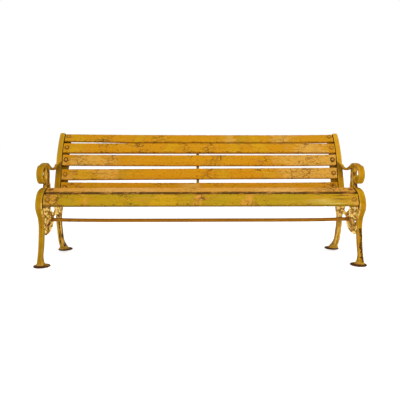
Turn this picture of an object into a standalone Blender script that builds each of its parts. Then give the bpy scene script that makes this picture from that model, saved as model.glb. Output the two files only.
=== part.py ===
"""Park bench with two cast-iron ends, ten wood slats, a tie rod and a centre strap.

Units are metres, +Z is up, the length runs along X and the front faces -Y.
Side-view positions are pairs (y, z): y runs back from the top edge of the front
slat and z runs up from the floor. Everything is moved in Y once, at the end, so
that the origin sits under the middle of the bench.
"""
import math

import bmesh
import bpy
from mathutils import Vector

for old in list(bpy.data.objects):
    bpy.data.objects.remove(old)

# clearances
GAP = 0.0003
BORE_CLEARANCE = 0.0004

# slats
SLAT_LENGTH = 1.830
SLAT_WIDTH = 0.069
SLAT_THICKNESS = 0.025
SLAT_EDGE = 0.004
SLAT_FOUR_SKEW = math.radians(0.3)

# first edge (y, z) of each slat face, front to back and then bottom to top
SEAT_EDGES = ((-0.030, 0.387), (0.028, 0.459), (0.112, 0.4795), (0.1972, 0.4620), (0.2806, 0.4371))
BACK_EDGES = ((0.3661, 0.4324), (0.391, 0.522), (0.424, 0.614), (0.4475, 0.698), (0.493, 0.771))
# slope of each slat face in degrees
SEAT_SLOPES = (64.5, 19.5, -11.0, -17.0, -11.0)
BACK_SLOPES = (75.0, 73.0, 75.0, 61.0, 46.0)

# x positions of the castings are measured outwards from the slat ends
SLAT_END = SLAT_LENGTH / 2

# rail of the casting: web and slat ledge behind a flange
RAIL_CLEARANCE = 0.005
FLANGE_EDGE = 0.004
WEB_TOP = 0.008
WEB_THICKNESS = 0.013
LEDGE_REACH = 0.043
LEDGE_THICKNESS = 0.008
RAIL_FOOT = 0.003
RAIL_HEAD = 0.014
STRAP_SETBACK = 0.014
SEAT_FACET_MARGIN = 0.003
BACK_FACET_MARGIN = 0.006

# feet
FOOT_WIDTH = 0.100
FOOT_RIM = 0.007
ANKLE_HEIGHT = 0.042
ANKLE_INSET = 0.006
FOOT_LEVELS = ((0.013, 0.80), (0.022, 0.53))
ANKLE_SIZE = 0.36
FRONT_FOOT = (0.055, 0.104)
FRONT_FOOT_LENGTH = 0.118
FRONT_ANKLE_Y = 0.060
REAR_FOOT = (0.053, 0.660)
REAR_FOOT_LENGTH = 0.128
REAR_ANKLE_Y = 0.552

# arm and its post
ARM_CLEARANCE = 0.0065
ARM_WIDTH = 0.036
ARM_EDGE = 0.0035
SCROLL_CENTRE = (0.060, 0.556)
SCROLL_START_RADIUS = 0.052
SCROLL_END_RADIUS = 0.036
SCROLL_THICKNESS = 0.013
POST_CLEARANCE = 0.0085
POST_THICKNESS = 0.024
POST_EDGE = 0.007

# fretwork and the boss that takes the tie rod
FRET_CLEARANCE = 0.0155
FRET_THICKNESS = 0.018
FRET_EDGE = 0.004
FRET_STEP = 0.0002
BOSS_CENTRE = (0.195, 0.276)
BOSS_DIAMETER = 0.046
BOSS_CLEARANCE = 0.0185
BOSS_LENGTH = 0.024

# tie rod
ROD_DIAMETER = 0.020
COLLAR_DIAMETER = 0.027
COLLAR_LENGTH = 0.010
SPIGOT_DIAMETER = 0.012
ROD_NUT_WIDTH = 0.022
ROD_NUT_HEIGHT = 0.010
WASHER_DIAMETER = 0.030
WASHER_THICKNESS = 0.0025
ROD_TAIL = 0.004

# coach bolts
BOLT_INSET = 0.023
BOLT_DIAMETER = 0.008
BOLT_HEAD_DIAMETER = 0.022
BOLT_HEAD_HEIGHT = 0.006
BOLT_TAIL = 0.003
TOP_BOLT_RISE = 0.010
FLUSH_HEAD_DIAMETER = 0.017
FLUSH_HEAD_DEPTH = 0.005
FLUSH_CLEARANCE = 0.0006
BOLT_NUT_WIDTH = 0.016
BOLT_NUT_HEIGHT = 0.007

# centre strap
STRAP_X = -0.016
STRAP_WIDTH = 0.018
STRAP_THICKNESS = 0.004

ROUND_STEPS = 12
BOLT_STEPS = 10
NUT_STEPS = 8

# seat flange that rolls over the front of the seat and becomes the front leg,
# as (y, z, thickness, inner x, outer x)
FRONT_LEG_LINE = (
    (0.376, 0.438, 0.012, 0.0055, 0.0410),
    (0.330, 0.4215, 0.012, 0.0055, 0.0410),
    (0.270, 0.434, 0.012, 0.0055, 0.0410),
    (0.200, 0.4555, 0.012, 0.0055, 0.0410),
    (0.140, 0.469, 0.012, 0.0055, 0.0415),
    (0.100, 0.4735, 0.013, 0.0055, 0.0420),
    (0.060, 0.4685, 0.014, 0.0055, 0.0430),
    (0.030, 0.457, 0.015, 0.0055, 0.0440),
    (0.008, 0.439, 0.017, 0.0055, 0.0445),
    (-0.006, 0.416, 0.020, 0.0060, 0.0450),
    (-0.013, 0.392, 0.025, 0.0065, 0.0450),
    (-0.011, 0.371, 0.031, 0.0070, 0.0450),
    (0.004, 0.348, 0.034, 0.0085, 0.0455),
    (0.028, 0.320, 0.034, 0.0120, 0.0455),
    (0.043, 0.286, 0.032, 0.0155, 0.0460),
    (0.047, 0.240, 0.030, 0.0170, 0.0465),
    (0.048, 0.130, 0.028, 0.0240, 0.0525),
    (0.053, 0.070, 0.030, 0.0325, 0.0605),
    (0.066, 0.020, 0.044, 0.0320, 0.0710))

# back flange from its rolled top down to the seat, and on into the rear leg
REAR_LEG_LINE = (
    (0.552, 0.829, 0.012, 0.0045, 0.0375),
    (0.530, 0.805, 0.013, 0.0045, 0.0375),
    (0.501, 0.771, 0.013, 0.0045, 0.0375),
    (0.474, 0.729, 0.013, 0.0045, 0.0375),
    (0.450, 0.682, 0.013, 0.0050, 0.0385),
    (0.434, 0.636, 0.013, 0.0050, 0.0395),
    (0.417, 0.582, 0.013, 0.0055, 0.0405),
    (0.401, 0.528, 0.014, 0.0060, 0.0420),
    (0.387, 0.475, 0.018, 0.0065, 0.0435),
    (0.387, 0.430, 0.026, 0.0075, 0.0430),
    (0.397, 0.385, 0.032, 0.0080, 0.0435),
    (0.412, 0.325, 0.033, 0.0115, 0.0455),
    (0.428, 0.240, 0.032, 0.0145, 0.0460),
    (0.438, 0.190, 0.031, 0.0155, 0.0470),
    (0.478, 0.105, 0.031, 0.0180, 0.0505),
    (0.516, 0.069, 0.032, 0.0200, 0.0545),
    (0.570, 0.039, 0.030, 0.0225, 0.0590),
    (0.632, 0.016, 0.020, 0.0250, 0.0650))

# swan neck of the arm, slim at the outer edge of the back flange and as wide as
# the scroll at its front, as (y, z, thickness, inner x, outer x)
ARM_NECK = (
    (0.429, 0.613, 0.013, 0.0345, 0.0475),
    (0.404, 0.596, 0.014, 0.0335, 0.0475),
    (0.365, 0.588, 0.014, 0.0315, 0.0470),
    (0.300, 0.588, 0.013, 0.0285, 0.0460),
    (0.220, 0.603, 0.013, 0.0205, 0.0440),
    (0.150, 0.620, 0.013, 0.0115, 0.0425),
    (0.100, 0.617, 0.013, ARM_CLEARANCE, ARM_CLEARANCE + ARM_WIDTH),
    (0.060, 0.606, 0.013, ARM_CLEARANCE, ARM_CLEARANCE + ARM_WIDTH))
POST_LINE = (
    (0.130, 0.458, 0.084), (0.130, 0.486, 0.084), (0.131, 0.520, 0.068),
    (0.133, 0.556, 0.058), (0.133, 0.588, 0.066), (0.130, 0.616, 0.080))

# scrolled strands of the fretwork below the seat, as (y, z, width)
FRET_STRANDS = {
    "lobe": (
        (0.040, 0.266, 0.016), (0.055, 0.234, 0.017), (0.080, 0.213, 0.018), (0.113, 0.207, 0.020),
        (0.155, 0.210, 0.019), (0.200, 0.225, 0.018), (0.232, 0.251, 0.017), (0.243, 0.284, 0.016),
        (0.228, 0.312, 0.016), (0.200, 0.320, 0.016), (0.172, 0.308, 0.014), (0.180, 0.286, 0.014)),
    "front_strand": (
        (0.034, 0.312, 0.016), (0.062, 0.343, 0.017), (0.083, 0.378, 0.017),
        (0.092, 0.412, 0.018), (0.090, 0.452, 0.018)),
    "inner_strand": (
        (0.046, 0.284, 0.016), (0.088, 0.296, 0.016), (0.124, 0.322, 0.016),
        (0.140, 0.356, 0.016), (0.146, 0.400, 0.018), (0.150, 0.448, 0.018)),
    "cross_strand": (
        (0.018, 0.380, 0.014), (0.058, 0.352, 0.016), (0.100, 0.322, 0.018),
        (0.140, 0.303, 0.016), (0.178, 0.290, 0.014)),
    "centre_strand": (
        (0.196, 0.318, 0.014), (0.176, 0.344, 0.016), (0.186, 0.374, 0.017),
        (0.196, 0.404, 0.018), (0.196, 0.436, 0.018)),
    "rear_bracket": (
        (0.428, 0.262, 0.024), (0.400, 0.290, 0.038), (0.364, 0.316, 0.046),
        (0.330, 0.342, 0.040), (0.308, 0.370, 0.030), (0.300, 0.408, 0.022)),
    "rear_arm": (
        (0.345, 0.320, 0.018), (0.305, 0.304, 0.017), (0.272, 0.301, 0.015), (0.240, 0.292, 0.014)),
    "heel": (
        (0.432, 0.262, 0.014), (0.456, 0.296, 0.015), (0.470, 0.334, 0.016),
        (0.458, 0.372, 0.016), (0.430, 0.402, 0.015), (0.402, 0.428, 0.014)),
    "drop": (
        (0.186, 0.264, 0.015), (0.158, 0.252, 0.022), (0.134, 0.232, 0.022), (0.120, 0.209, 0.014)),
    "lobe_leaf": (
        (0.048, 0.268, 0.016), (0.078, 0.256, 0.026), (0.099, 0.238, 0.025), (0.112, 0.212, 0.014)),
}


def material(name, colour, roughness, metallic):
    made = bpy.data.materials.new(name)
    made.use_nodes = True
    shader = made.node_tree.nodes["Principled BSDF"]
    shader.inputs["Base Color"].default_value = (*colour, 1.0)
    shader.inputs["Roughness"].default_value = roughness
    shader.inputs["Metallic"].default_value = metallic
    return made


PAINTED_IRON = material("painted_cast_iron", (0.46, 0.25, 0.02), 0.5, 0.0)
PAINTED_WOOD = material("painted_wood", (0.61, 0.26, 0.015), 0.6, 0.0)
RUSTY_STEEL = material("rusty_steel", (0.22, 0.10, 0.03), 0.7, 0.3)
PAINTED_STEEL = material("painted_steel", (0.38, 0.16, 0.02), 0.55, 0.0)


def add_object(name, mesh_data, look):
    bmesh.ops.recalc_face_normals(mesh_data, faces=mesh_data.faces)
    mesh = bpy.data.meshes.new(name)
    mesh_data.to_mesh(mesh)
    mesh_data.free()
    mesh.materials.append(look)
    made = bpy.data.objects.new(name, mesh)
    bpy.context.scene.collection.objects.link(made)
    return made


def combine(target, operand, operation):
    operand.hide_render = True
    operand.display_type = "WIRE"
    step = target.modifiers.new(operand.name, "BOOLEAN")
    step.operation = operation
    step.solver = "EXACT"
    step.object = operand


def skin(mesh_data, rings, closed=False):
    """Join rings of points into one closed skin; an open run of rings gets two caps."""
    rows = [[mesh_data.verts.new(point) for point in ring] for ring in rings]
    count = len(rows[0])
    pairs = list(zip(rows, rows[1:]))
    if closed:
        pairs.append((rows[-1], rows[0]))
    for first, second in pairs:
        for i in range(count):
            j = (i + 1) % count
            mesh_data.faces.new((first[i], first[j], second[j], second[i]))
    if not closed:
        mesh_data.faces.new(rows[0][::-1])
        mesh_data.faces.new(rows[-1])


def spline(points, steps):
    """Smooth run through control points of any number of values (Catmull-Rom)."""
    padded = [points[0], *points, points[-1]]
    run = []
    for a, b, c, d in zip(padded, padded[1:], padded[2:], padded[3:]):
        for k in range(steps):
            t = k / steps
            run.append(tuple(
                0.5 * (2 * q + (r - p) * t + (2 * p - 5 * q + 4 * r - s) * t * t
                       + (3 * q - p - 3 * r + s) * t ** 3)
                for p, q, r, s in zip(a, b, c, d)))
    run.append(tuple(points[-1]))
    return run


def bar(name, stations, edge, side):
    """Cast bar along (y, z, thickness, inner x, outer x), with its four edges taken off."""
    rings = []
    last = len(stations) - 1
    for i, (y, z, thickness, inner, outer) in enumerate(stations):
        before = stations[max(i - 1, 0)]
        after = stations[min(i + 1, last)]
        run = Vector((after[0] - before[0], after[1] - before[1])).normalized()
        h = thickness / 2
        section = (
            (inner + edge, -h), (outer - edge, -h), (outer, edge - h), (outer, h - edge),
            (outer - edge, h), (inner + edge, h), (inner, h - edge), (inner, edge - h))
        rings.append([(side * (SLAT_END + x), y - run.y * s, z + run.x * s) for x, s in section])
    data = bmesh.new()
    skin(data, rings)
    return add_object(name, data, PAINTED_IRON)


def flat_bar(name, line, edge, inner, width, side):
    """Bar of constant x range along a run of points (y, z, thickness)."""
    return bar(name, [(y, z, t, inner, inner + width) for y, z, t in line], edge, side)


class Slat:
    """Place of one slat: face centre, directions along its length, width and depth."""

    def __init__(self, name, first_edge, slope, skew=0.0):
        angle = math.radians(slope)
        rise = Vector((0.0, math.cos(angle), math.sin(angle)))
        self.name = name
        self.rise = rise
        self.first = Vector((0.0, *first_edge))
        self.last = self.first + rise * SLAT_WIDTH
        self.centre = (self.first + self.last) / 2
        self.deep = Vector((0.0, rise.z, -rise.y))
        along = Vector((1.0, 0.0, 0.0))
        self.along = along * math.cos(skew) + rise * math.sin(skew)
        self.across = rise * math.cos(skew) - along * math.sin(skew)

    def at(self, u, s, d):
        return self.centre + self.along * u + self.across * s + self.deep * d


def slat_list():
    names = ("seat_slat_1_nosing", "seat_slat_2", "seat_slat_3", "seat_slat_4", "seat_slat_5")
    seat = [Slat(name, edge, slope) for name, edge, slope in zip(names, SEAT_EDGES, SEAT_SLOPES)]
    back = []
    for i, (edge, slope) in enumerate(zip(BACK_EDGES, BACK_SLOPES)):
        number = len(BACK_EDGES) - i
        skew = SLAT_FOUR_SKEW if number == 4 else 0.0
        back.append(Slat(f"back_slat_{number}", edge, slope, skew))
    return seat, back


SEAT, BACK = slat_list()
SLATS = SEAT + BACK
LEDGE_DEPTH = SLAT_THICKNESS + GAP
RAIL_DEPTH = LEDGE_DEPTH + LEDGE_THICKNESS


def face_line(foot_end, head_end):
    """Side-view line (y, z) through every slat face, flat for a margin beyond each slat."""
    line = []
    for slat in SLATS:
        margin = BACK_FACET_MARGIN if slat in BACK else SEAT_FACET_MARGIN
        run = slat.rise.yz
        line.append(slat.first.yz - run * (foot_end if slat is SLATS[0] else margin))
        line.append(slat.last.yz + run * (head_end if slat is SLATS[-1] else margin))
    return line


def mitre_directions(line):
    """Depth direction at each point, lengthened so that every offset face stays parallel."""
    normals = []
    for a, b in zip(line, line[1:]):
        run = (b - a).normalized()
        normals.append(Vector((run.y, -run.x)))
    directions = [normals[0]]
    for a, b in zip(normals, normals[1:]):
        middle = (a + b).normalized()
        directions.append(middle / middle.dot(a))
    directions.append(normals[-1])
    return directions


def sweep_section(name, section, ends, side, look):
    """Sweep a section of (x, depth) points along the slat faces, past both end slats by ends."""
    line = face_line(*ends)
    rings = []
    for point, deep in zip(line, mitre_directions(line)):
        rings.append([(side * x, point.x + deep.x * d, point.y + deep.y * d) for x, d in section])
    data = bmesh.new()
    skin(data, rings)
    return add_object(name, data, look)


def rail(name, side):
    """Web and slat ledge, swept along the slats with a flat facet under each."""
    web_inner = SLAT_END + RAIL_CLEARANCE
    web_outer = web_inner + WEB_THICKNESS
    ledge_inner = web_inner - LEDGE_REACH
    section = (
        (web_inner, WEB_TOP), (web_outer, WEB_TOP), (web_outer, RAIL_DEPTH),
        (ledge_inner, RAIL_DEPTH), (ledge_inner, LEDGE_DEPTH), (web_inner, LEDGE_DEPTH))
    return sweep_section(name, section, (RAIL_FOOT, RAIL_HEAD), side, PAINTED_IRON)


def foot(name, place, length, ankle_y, side):
    """Oval pad that rises in a hollow curve to the ankle of its leg."""
    levels = ((0.0, 1.0), (FOOT_RIM, 1.0), *FOOT_LEVELS, (ANKLE_HEIGHT, ANKLE_SIZE))
    rings = []
    for z, size in levels:
        lean = (1.0 - size) / (1.0 - ANKLE_SIZE)
        x = SLAT_END + place[0] - ANKLE_INSET * lean
        y = place[1] + (ankle_y - place[1]) * lean
        ring = []
        for i in range(2 * NUT_STEPS):
            angle = math.pi * i / NUT_STEPS
            out = FOOT_WIDTH / 2 * size * math.cos(angle)
            back = length / 2 * size * math.sin(angle)
            ring.append((side * (x + out), y + back, z))
        rings.append(ring)
    data = bmesh.new()
    skin(data, rings)
    return add_object(name, data, PAINTED_IRON)


def arm_line():
    """Swan neck from the back rail, ending in a scroll that curls under."""
    first_angle = math.radians(95)
    sweep = math.radians(250)
    tightening = 1.6
    steps = 14
    line = spline(ARM_NECK, 2)
    for i in range(1, steps + 1):
        part = i / steps
        angle = first_angle + sweep * part
        shrink = (SCROLL_END_RADIUS - SCROLL_START_RADIUS) * part ** tightening
        radius = SCROLL_START_RADIUS + shrink
        y = SCROLL_CENTRE[0] + radius * math.cos(angle)
        z = SCROLL_CENTRE[1] + radius * math.sin(angle)
        line.append((y, z, SCROLL_THICKNESS, ARM_CLEARANCE, ARM_CLEARANCE + ARM_WIDTH))
    return line


def fretwork(name, side):
    """Each strand is a hair thinner than the one before, so that no two faces coincide."""
    made = []
    for i, (label, line) in enumerate(FRET_STRANDS.items()):
        step_back = FRET_STEP * i
        made.append(flat_bar(
            f"{name}_{label}", spline(line, 2), FRET_EDGE, FRET_CLEARANCE + step_back,
            FRET_THICKNESS - 2 * step_back, side))
    return made


def turn(data, profile, centre, axis, side_axis, steps=ROUND_STEPS):
    """Turn (radius, height) points about an axis; a radius of zero closes an end."""
    third = axis.cross(side_axis)
    rows = []
    for radius, height in profile:
        base = centre + axis * height
        if radius == 0.0:
            rows.append([data.verts.new(base)])
            continue
        ring = []
        for i in range(steps):
            angle = 2 * math.pi * i / steps
            out = side_axis * math.cos(angle) + third * math.sin(angle)
            ring.append(data.verts.new(base + out * radius))
        rows.append(ring)
    for first, second in zip(rows, rows[1:]):
        for i in range(steps):
            j = (i + 1) % steps
            loop = (first[i % len(first)], first[j % len(first)],
                    second[j % len(second)], second[i % len(second)])
            data.faces.new(list(dict.fromkeys(loop)))


def solid_round(diameter, start, end):
    """Profile of a plain closed cylinder."""
    radius = diameter / 2
    return ((0.0, start), (radius, start), (radius, end), (0.0, end))


def bore(diameter, steps=ROUND_STEPS):
    """Drill size whose flats clear a round shank of this diameter."""
    return (diameter + 2 * BORE_CLEARANCE) / math.cos(math.pi / steps)


def pierced(name, radius_at, hole_radius, low, high, centre, axis, side_axis, steps, look):
    """Flat part with a round bore; radius_at gives its outline at an angle."""
    third = axis.cross(side_axis)
    rings = []
    for i in range(steps):
        angle = 2 * math.pi * i / steps
        out = side_axis * math.cos(angle) + third * math.sin(angle)
        edge = radius_at(angle)
        section = ((hole_radius, low), (edge, low), (edge, high), (hole_radius, high))
        rings.append([centre + out * r + axis * h for r, h in section])
    data = bmesh.new()
    skin(data, rings, closed=True)
    return add_object(name, data, look)


X_AXIS = Vector((1.0, 0.0, 0.0))
Y_AXIS = Vector((0.0, 1.0, 0.0))
SIDES = {"left": -1, "right": 1}


def bolt_seat(slat, side):
    """Where a bolt meets the face of its slat; the top slat has its bolts above the middle."""
    rise = TOP_BOLT_RISE if slat is SLATS[-1] else 0.0
    return slat.at(side * (SLAT_END - BOLT_INSET), rise, 0.0)


def is_flush(slat):
    """The flat seat has flush bolts; the front edge and the back have domed ones."""
    return slat in SEAT[1:]


def boss_place():
    return Vector((0.0, *BOSS_CENTRE))


def boss_reach():
    """Where the boss starts and ends in x."""
    inner = SLAT_END + BOSS_CLEARANCE
    return inner, inner + BOSS_LENGTH


def bolt_drill(data, slat, side):
    shank = bore(BOLT_DIAMETER, BOLT_STEPS) / 2
    deep = -(RAIL_DEPTH + BOLT_NUT_HEIGHT)
    mouth = shank
    sink = -GAP
    if is_flush(slat):
        mouth = FLUSH_HEAD_DIAMETER / 2 + FLUSH_CLEARANCE
        sink = -GAP - FLUSH_HEAD_DEPTH
    profile = (
        (0.0, deep), (shank, deep), (shank, sink), (mouth, 0.0), (mouth, BOLT_HEAD_HEIGHT),
        (0.0, BOLT_HEAD_HEIGHT))
    turn(data, profile, bolt_seat(slat, side), -slat.deep, slat.along, BOLT_STEPS)


def end_frame(name, side):
    """One casting: the rail with legs, feet, arm and fretwork joined to it, then drilled."""
    frame = rail(name, side)
    boss_inner, boss_outer = boss_reach()
    boss_data = bmesh.new()
    turn(boss_data, solid_round(BOSS_DIAMETER, side * boss_inner, side * boss_outer),
         boss_place(), X_AXIS, Y_AXIS, 2 * NUT_STEPS)
    pieces = [
        bar(f"{name}_front_leg", spline(FRONT_LEG_LINE, 2), FLANGE_EDGE, side),
        foot(f"{name}_front_foot", FRONT_FOOT, FRONT_FOOT_LENGTH, FRONT_ANKLE_Y, side),
        bar(f"{name}_rear_leg", spline(REAR_LEG_LINE, 2), FLANGE_EDGE, side),
        foot(f"{name}_rear_foot", REAR_FOOT, REAR_FOOT_LENGTH, REAR_ANKLE_Y, side),
        bar(f"{name}_arm", arm_line(), ARM_EDGE, side),
        flat_bar(f"{name}_post", spline(POST_LINE, 2), POST_EDGE, POST_CLEARANCE, POST_THICKNESS, side),
        *fretwork(f"{name}_fret", side),
        add_object(f"{name}_boss", boss_data, PAINTED_IRON)]
    for piece in pieces:
        combine(frame, piece, "UNION")
    drill_data = bmesh.new()
    for slat in SLATS:
        bolt_drill(drill_data, slat, side)
    turn(drill_data, solid_round(bore(SPIGOT_DIAMETER), side * SLAT_END, side * (boss_outer + BOSS_LENGTH)),
         boss_place(), X_AXIS, Y_AXIS)
    combine(frame, add_object(f"{name}_drill", drill_data, PAINTED_IRON), "DIFFERENCE")


def wood_slat(slat):
    half = SLAT_WIDTH / 2
    edge = SLAT_EDGE
    back = SLAT_THICKNESS
    section = (
        (edge - half, 0.0), (half - edge, 0.0), (half, edge), (half, back - edge),
        (half - edge, back), (edge - half, back), (-half, back - edge), (-half, edge))
    data = bmesh.new()
    skin(data, [[slat.at(u, s, d) for s, d in section] for u in (-SLAT_END, SLAT_END)])
    made = add_object(slat.name, data, PAINTED_WOOD)
    drill_data = bmesh.new()
    for side in SIDES.values():
        bolt_drill(drill_data, slat, side)
    combine(made, add_object(f"{slat.name}_drill", drill_data, PAINTED_WOOD), "DIFFERENCE")


def domed_head():
    head = BOLT_HEAD_DIAMETER / 2
    dome = [(0.0, GAP + BOLT_HEAD_HEIGHT)]
    for degrees in (60, 30, 0):
        angle = math.radians(degrees)
        dome.append((head * math.cos(angle), GAP + BOLT_HEAD_HEIGHT * math.sin(angle)))
    return (*dome, (BOLT_DIAMETER / 2, GAP))


def flush_head():
    return ((0.0, -GAP), (FLUSH_HEAD_DIAMETER / 2, -GAP), (BOLT_DIAMETER / 2, -GAP - FLUSH_HEAD_DEPTH))


def coach_bolt(slat, label, side):
    tip = -(RAIL_DEPTH + GAP + BOLT_NUT_HEIGHT + BOLT_TAIL)
    head = flush_head() if is_flush(slat) else domed_head()
    profile = (*head, (BOLT_DIAMETER / 2, tip), (0.0, tip))
    data = bmesh.new()
    turn(data, profile, bolt_seat(slat, side), -slat.deep, slat.along, BOLT_STEPS)
    add_object(f"bolt_{label}_{slat.name}", data, RUSTY_STEEL)


def square_nut(slat, label, side):
    def outline(angle):
        return BOLT_NUT_WIDTH / 2 / max(abs(math.cos(angle)), abs(math.sin(angle)))

    near = RAIL_DEPTH + GAP
    pierced(
        f"nut_{label}_{slat.name}", outline, bore(BOLT_DIAMETER, NUT_STEPS) / 2, near,
        near + BOLT_NUT_HEIGHT, bolt_seat(slat, side), slat.deep, slat.along, NUT_STEPS, RUSTY_STEEL)


def centre_strap():
    inner = STRAP_X - STRAP_WIDTH / 2
    outer = STRAP_X + STRAP_WIDTH / 2
    near = LEDGE_DEPTH
    far = near + STRAP_THICKNESS
    section = ((inner, near), (outer, near), (outer, far), (inner, far))
    sweep_section("centre_strap", section, (-STRAP_SETBACK, -STRAP_SETBACK), 1, PAINTED_STEEL)


def tie_rod():
    boss_inner, boss_outer = boss_reach()
    seat = boss_inner - GAP
    neck = seat - COLLAR_LENGTH
    washer = boss_outer + GAP
    nut = washer + WASHER_THICKNESS + GAP
    tip = nut + ROD_NUT_HEIGHT + ROD_TAIL
    half = (
        (ROD_DIAMETER / 2, neck), (COLLAR_DIAMETER / 2, neck), (COLLAR_DIAMETER / 2, seat),
        (SPIGOT_DIAMETER / 2, seat), (SPIGOT_DIAMETER / 2, tip), (0.0, tip))
    mirrored = [(radius, -x) for radius, x in reversed(half)]
    data = bmesh.new()
    turn(data, (*mirrored, *half), boss_place(), X_AXIS, Y_AXIS)
    add_object("tie_rod", data, PAINTED_STEEL)

    def hexagon(angle):
        return ROD_NUT_WIDTH / 2 / math.cos((angle + math.pi / 6) % (math.pi / 3) - math.pi / 6)

    hole = bore(SPIGOT_DIAMETER) / 2
    for label, side in SIDES.items():
        pierced(
            f"rod_washer_{label}", lambda angle: WASHER_DIAMETER / 2, hole, washer,
            washer + WASHER_THICKNESS, boss_place(), X_AXIS * side, Y_AXIS, ROUND_STEPS, RUSTY_STEEL)
        pierced(
            f"rod_nut_{label}", hexagon, hole, nut, nut + ROD_NUT_HEIGHT, boss_place(),
            X_AXIS * side, Y_AXIS, ROUND_STEPS, RUSTY_STEEL)


def centre_in_depth():
    """Move everything in Y so that the origin is under the middle of the bench."""
    deep = [v.co.y for made in bpy.data.objects for v in made.data.vertices]
    middle = Vector((0.0, (min(deep) + max(deep)) / 2, 0.0))
    for made in bpy.data.objects:
        for v in made.data.vertices:
            v.co -= middle


for end, direction in SIDES.items():
    end_frame(f"end_frame_{end}", direction)
for board in SLATS:
    wood_slat(board)
    for end, direction in SIDES.items():
        coach_bolt(board, end, direction)
        square_nut(board, end, direction)
centre_strap()
tie_rod()
centre_in_depth()
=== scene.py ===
import math

import bmesh
import bpy
import numpy as np
from mathutils import Matrix, Vector, noise


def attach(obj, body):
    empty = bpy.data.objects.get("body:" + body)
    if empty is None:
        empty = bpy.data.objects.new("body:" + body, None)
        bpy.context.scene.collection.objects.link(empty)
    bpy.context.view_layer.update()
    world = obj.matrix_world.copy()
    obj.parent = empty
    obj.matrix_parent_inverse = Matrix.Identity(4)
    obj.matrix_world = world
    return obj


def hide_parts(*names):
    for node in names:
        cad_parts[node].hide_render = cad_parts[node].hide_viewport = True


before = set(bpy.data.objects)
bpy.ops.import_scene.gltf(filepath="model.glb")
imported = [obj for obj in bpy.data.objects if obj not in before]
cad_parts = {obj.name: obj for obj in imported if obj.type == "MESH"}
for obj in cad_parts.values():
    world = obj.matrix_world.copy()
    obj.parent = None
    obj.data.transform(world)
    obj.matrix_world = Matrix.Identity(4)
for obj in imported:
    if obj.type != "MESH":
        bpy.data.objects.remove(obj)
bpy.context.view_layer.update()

sides = {"left": -1, "right": 1}
seatNames = ["seat_slat_1_nosing", "seat_slat_2", "seat_slat_3", "seat_slat_4", "seat_slat_5"]
backNames = ["back_slat_5", "back_slat_4", "back_slat_3", "back_slat_2", "back_slat_1"]
slatNames = seatNames + backNames  # front to back, then bottom to top
nosing, topSlat = slatNames[0], slatNames[-1]
frontLine = -0.3479  # side-view y runs back from the front slat's top edge, z up from the floor


# small helpers shared by all pieces

def limited(value):
    return min(max(value, 0.0), 1.0)


def ripple(x, y, z):
    return noise.noise(Vector((x, y, z)))


def meshOf(name, bm):  # uses the bmesh up
    mesh = bpy.data.meshes.new(name)
    bm.to_mesh(mesh)
    bm.free()
    return mesh


def inScene(name, data):
    thing = bpy.data.objects.new(name, data)
    bpy.context.scene.collection.objects.link(thing)
    return thing


def placeMesh(name, mesh, material, slotName, *nodes, smoothAngle=50):
    mesh.materials.clear()
    mesh.materials.append(material)
    mesh.shade_smooth()
    if smoothAngle < 180:
        mesh.set_sharp_from_angle(angle=math.radians(smoothAngle))
    piece = inScene(name, mesh)
    if nodes:
        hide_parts(*nodes)
    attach(piece, "root")


def finishPiece(name, bm, material, slotName, *nodes):
    bmesh.ops.recalc_face_normals(bm, faces=bm.faces)
    placeMesh(name, meshOf(name, bm), material, slotName, *nodes)


def smoothRun(points, steps):  # Catmull-Rom through control points of any number of values
    padded = [points[0], *points, points[-1]]
    run = []
    for a, b, c, d in zip(padded, padded[1:], padded[2:], padded[3:]):
        for k in range(steps):
            t = k / steps
            run.append(tuple(
                0.5 * (2 * q + (r - p) * t + (2 * p - 5 * q + 4 * r - s) * t * t
                       + (3 * q - p - 3 * r + s) * t ** 3)
                for p, q, r, s in zip(a, b, c, d)))
    run.append(tuple(points[-1]))
    return run


def bridgeRings(bm, loops):  # loops of edges become one closed skin
    for first, second in zip(loops, loops[1:]):
        bmesh.ops.bridge_loops(bm, edges=first + second)
    bmesh.ops.holes_fill(bm, edges=loops[0] + loops[-1], sides=0)


def ringOf(bm, ringSides):  # unit circle to be moved into place, and its edges
    ring = bmesh.ops.create_circle(bm, segments=ringSides, radius=1.0)["verts"]
    return ring, list({e for v in ring for e in v.link_edges})


# materials

def make(tree, kind, inputs=None, **settings):  # one node, with its inputs set or linked
    node = tree.nodes.new(kind)
    for key, value in settings.items():
        setattr(node, key, value)
    for key, value in (inputs or {}).items():
        if isinstance(value, bpy.types.NodeSocket):
            tree.links.new(value, node.inputs[key])
        else:
            node.inputs[key].default_value = value
    return node


def marked(place, label):  # a value that is stored on the mesh
    return make(place.id_data, "ShaderNodeAttribute", attribute_name=label).outputs["Fac"]


def spreadOut(place, stretch, shift=(0, 0, 0)):
    inputs = {"Vector": place, "Location": shift, "Scale": stretch}
    return make(place.id_data, "ShaderNodeMapping", inputs).outputs[0]


def cloud(place, stretch, size, detail=3.0, rough=0.6, shift=(0, 0, 0), warp=0.0):  # stretched noise
    inputs = {"Vector": spreadOut(place, stretch, shift), "Scale": size, "Detail": detail, "Roughness": rough,
              "Distortion": warp}
    return make(place.id_data, "ShaderNodeTexNoise", inputs).outputs["Fac"]


def step(value, low, high):  # 0 below low, 1 above high
    inputs = {"Value": value, "From Min": low, "From Max": high}
    return make(value.id_data, "ShaderNodeMapRange", inputs, interpolation_type="SMOOTHSTEP").outputs[0]


def reckon(operation, a, b, clamp=False):
    return make(a.id_data, "ShaderNodeMath", {0: a, 1: b}, operation=operation, use_clamp=clamp).outputs[0]


def times(a, b):
    return reckon("MULTIPLY", a, b)


def plus(a, b):
    return reckon("ADD", a, b, True)


def higher(a, b):
    return reckon("MAXIMUM", a, b)


veinShape = {"wanderScale": 0.9, "wanderDetail": 3.0, "bend": 0.12, "core": 0.2}


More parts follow.
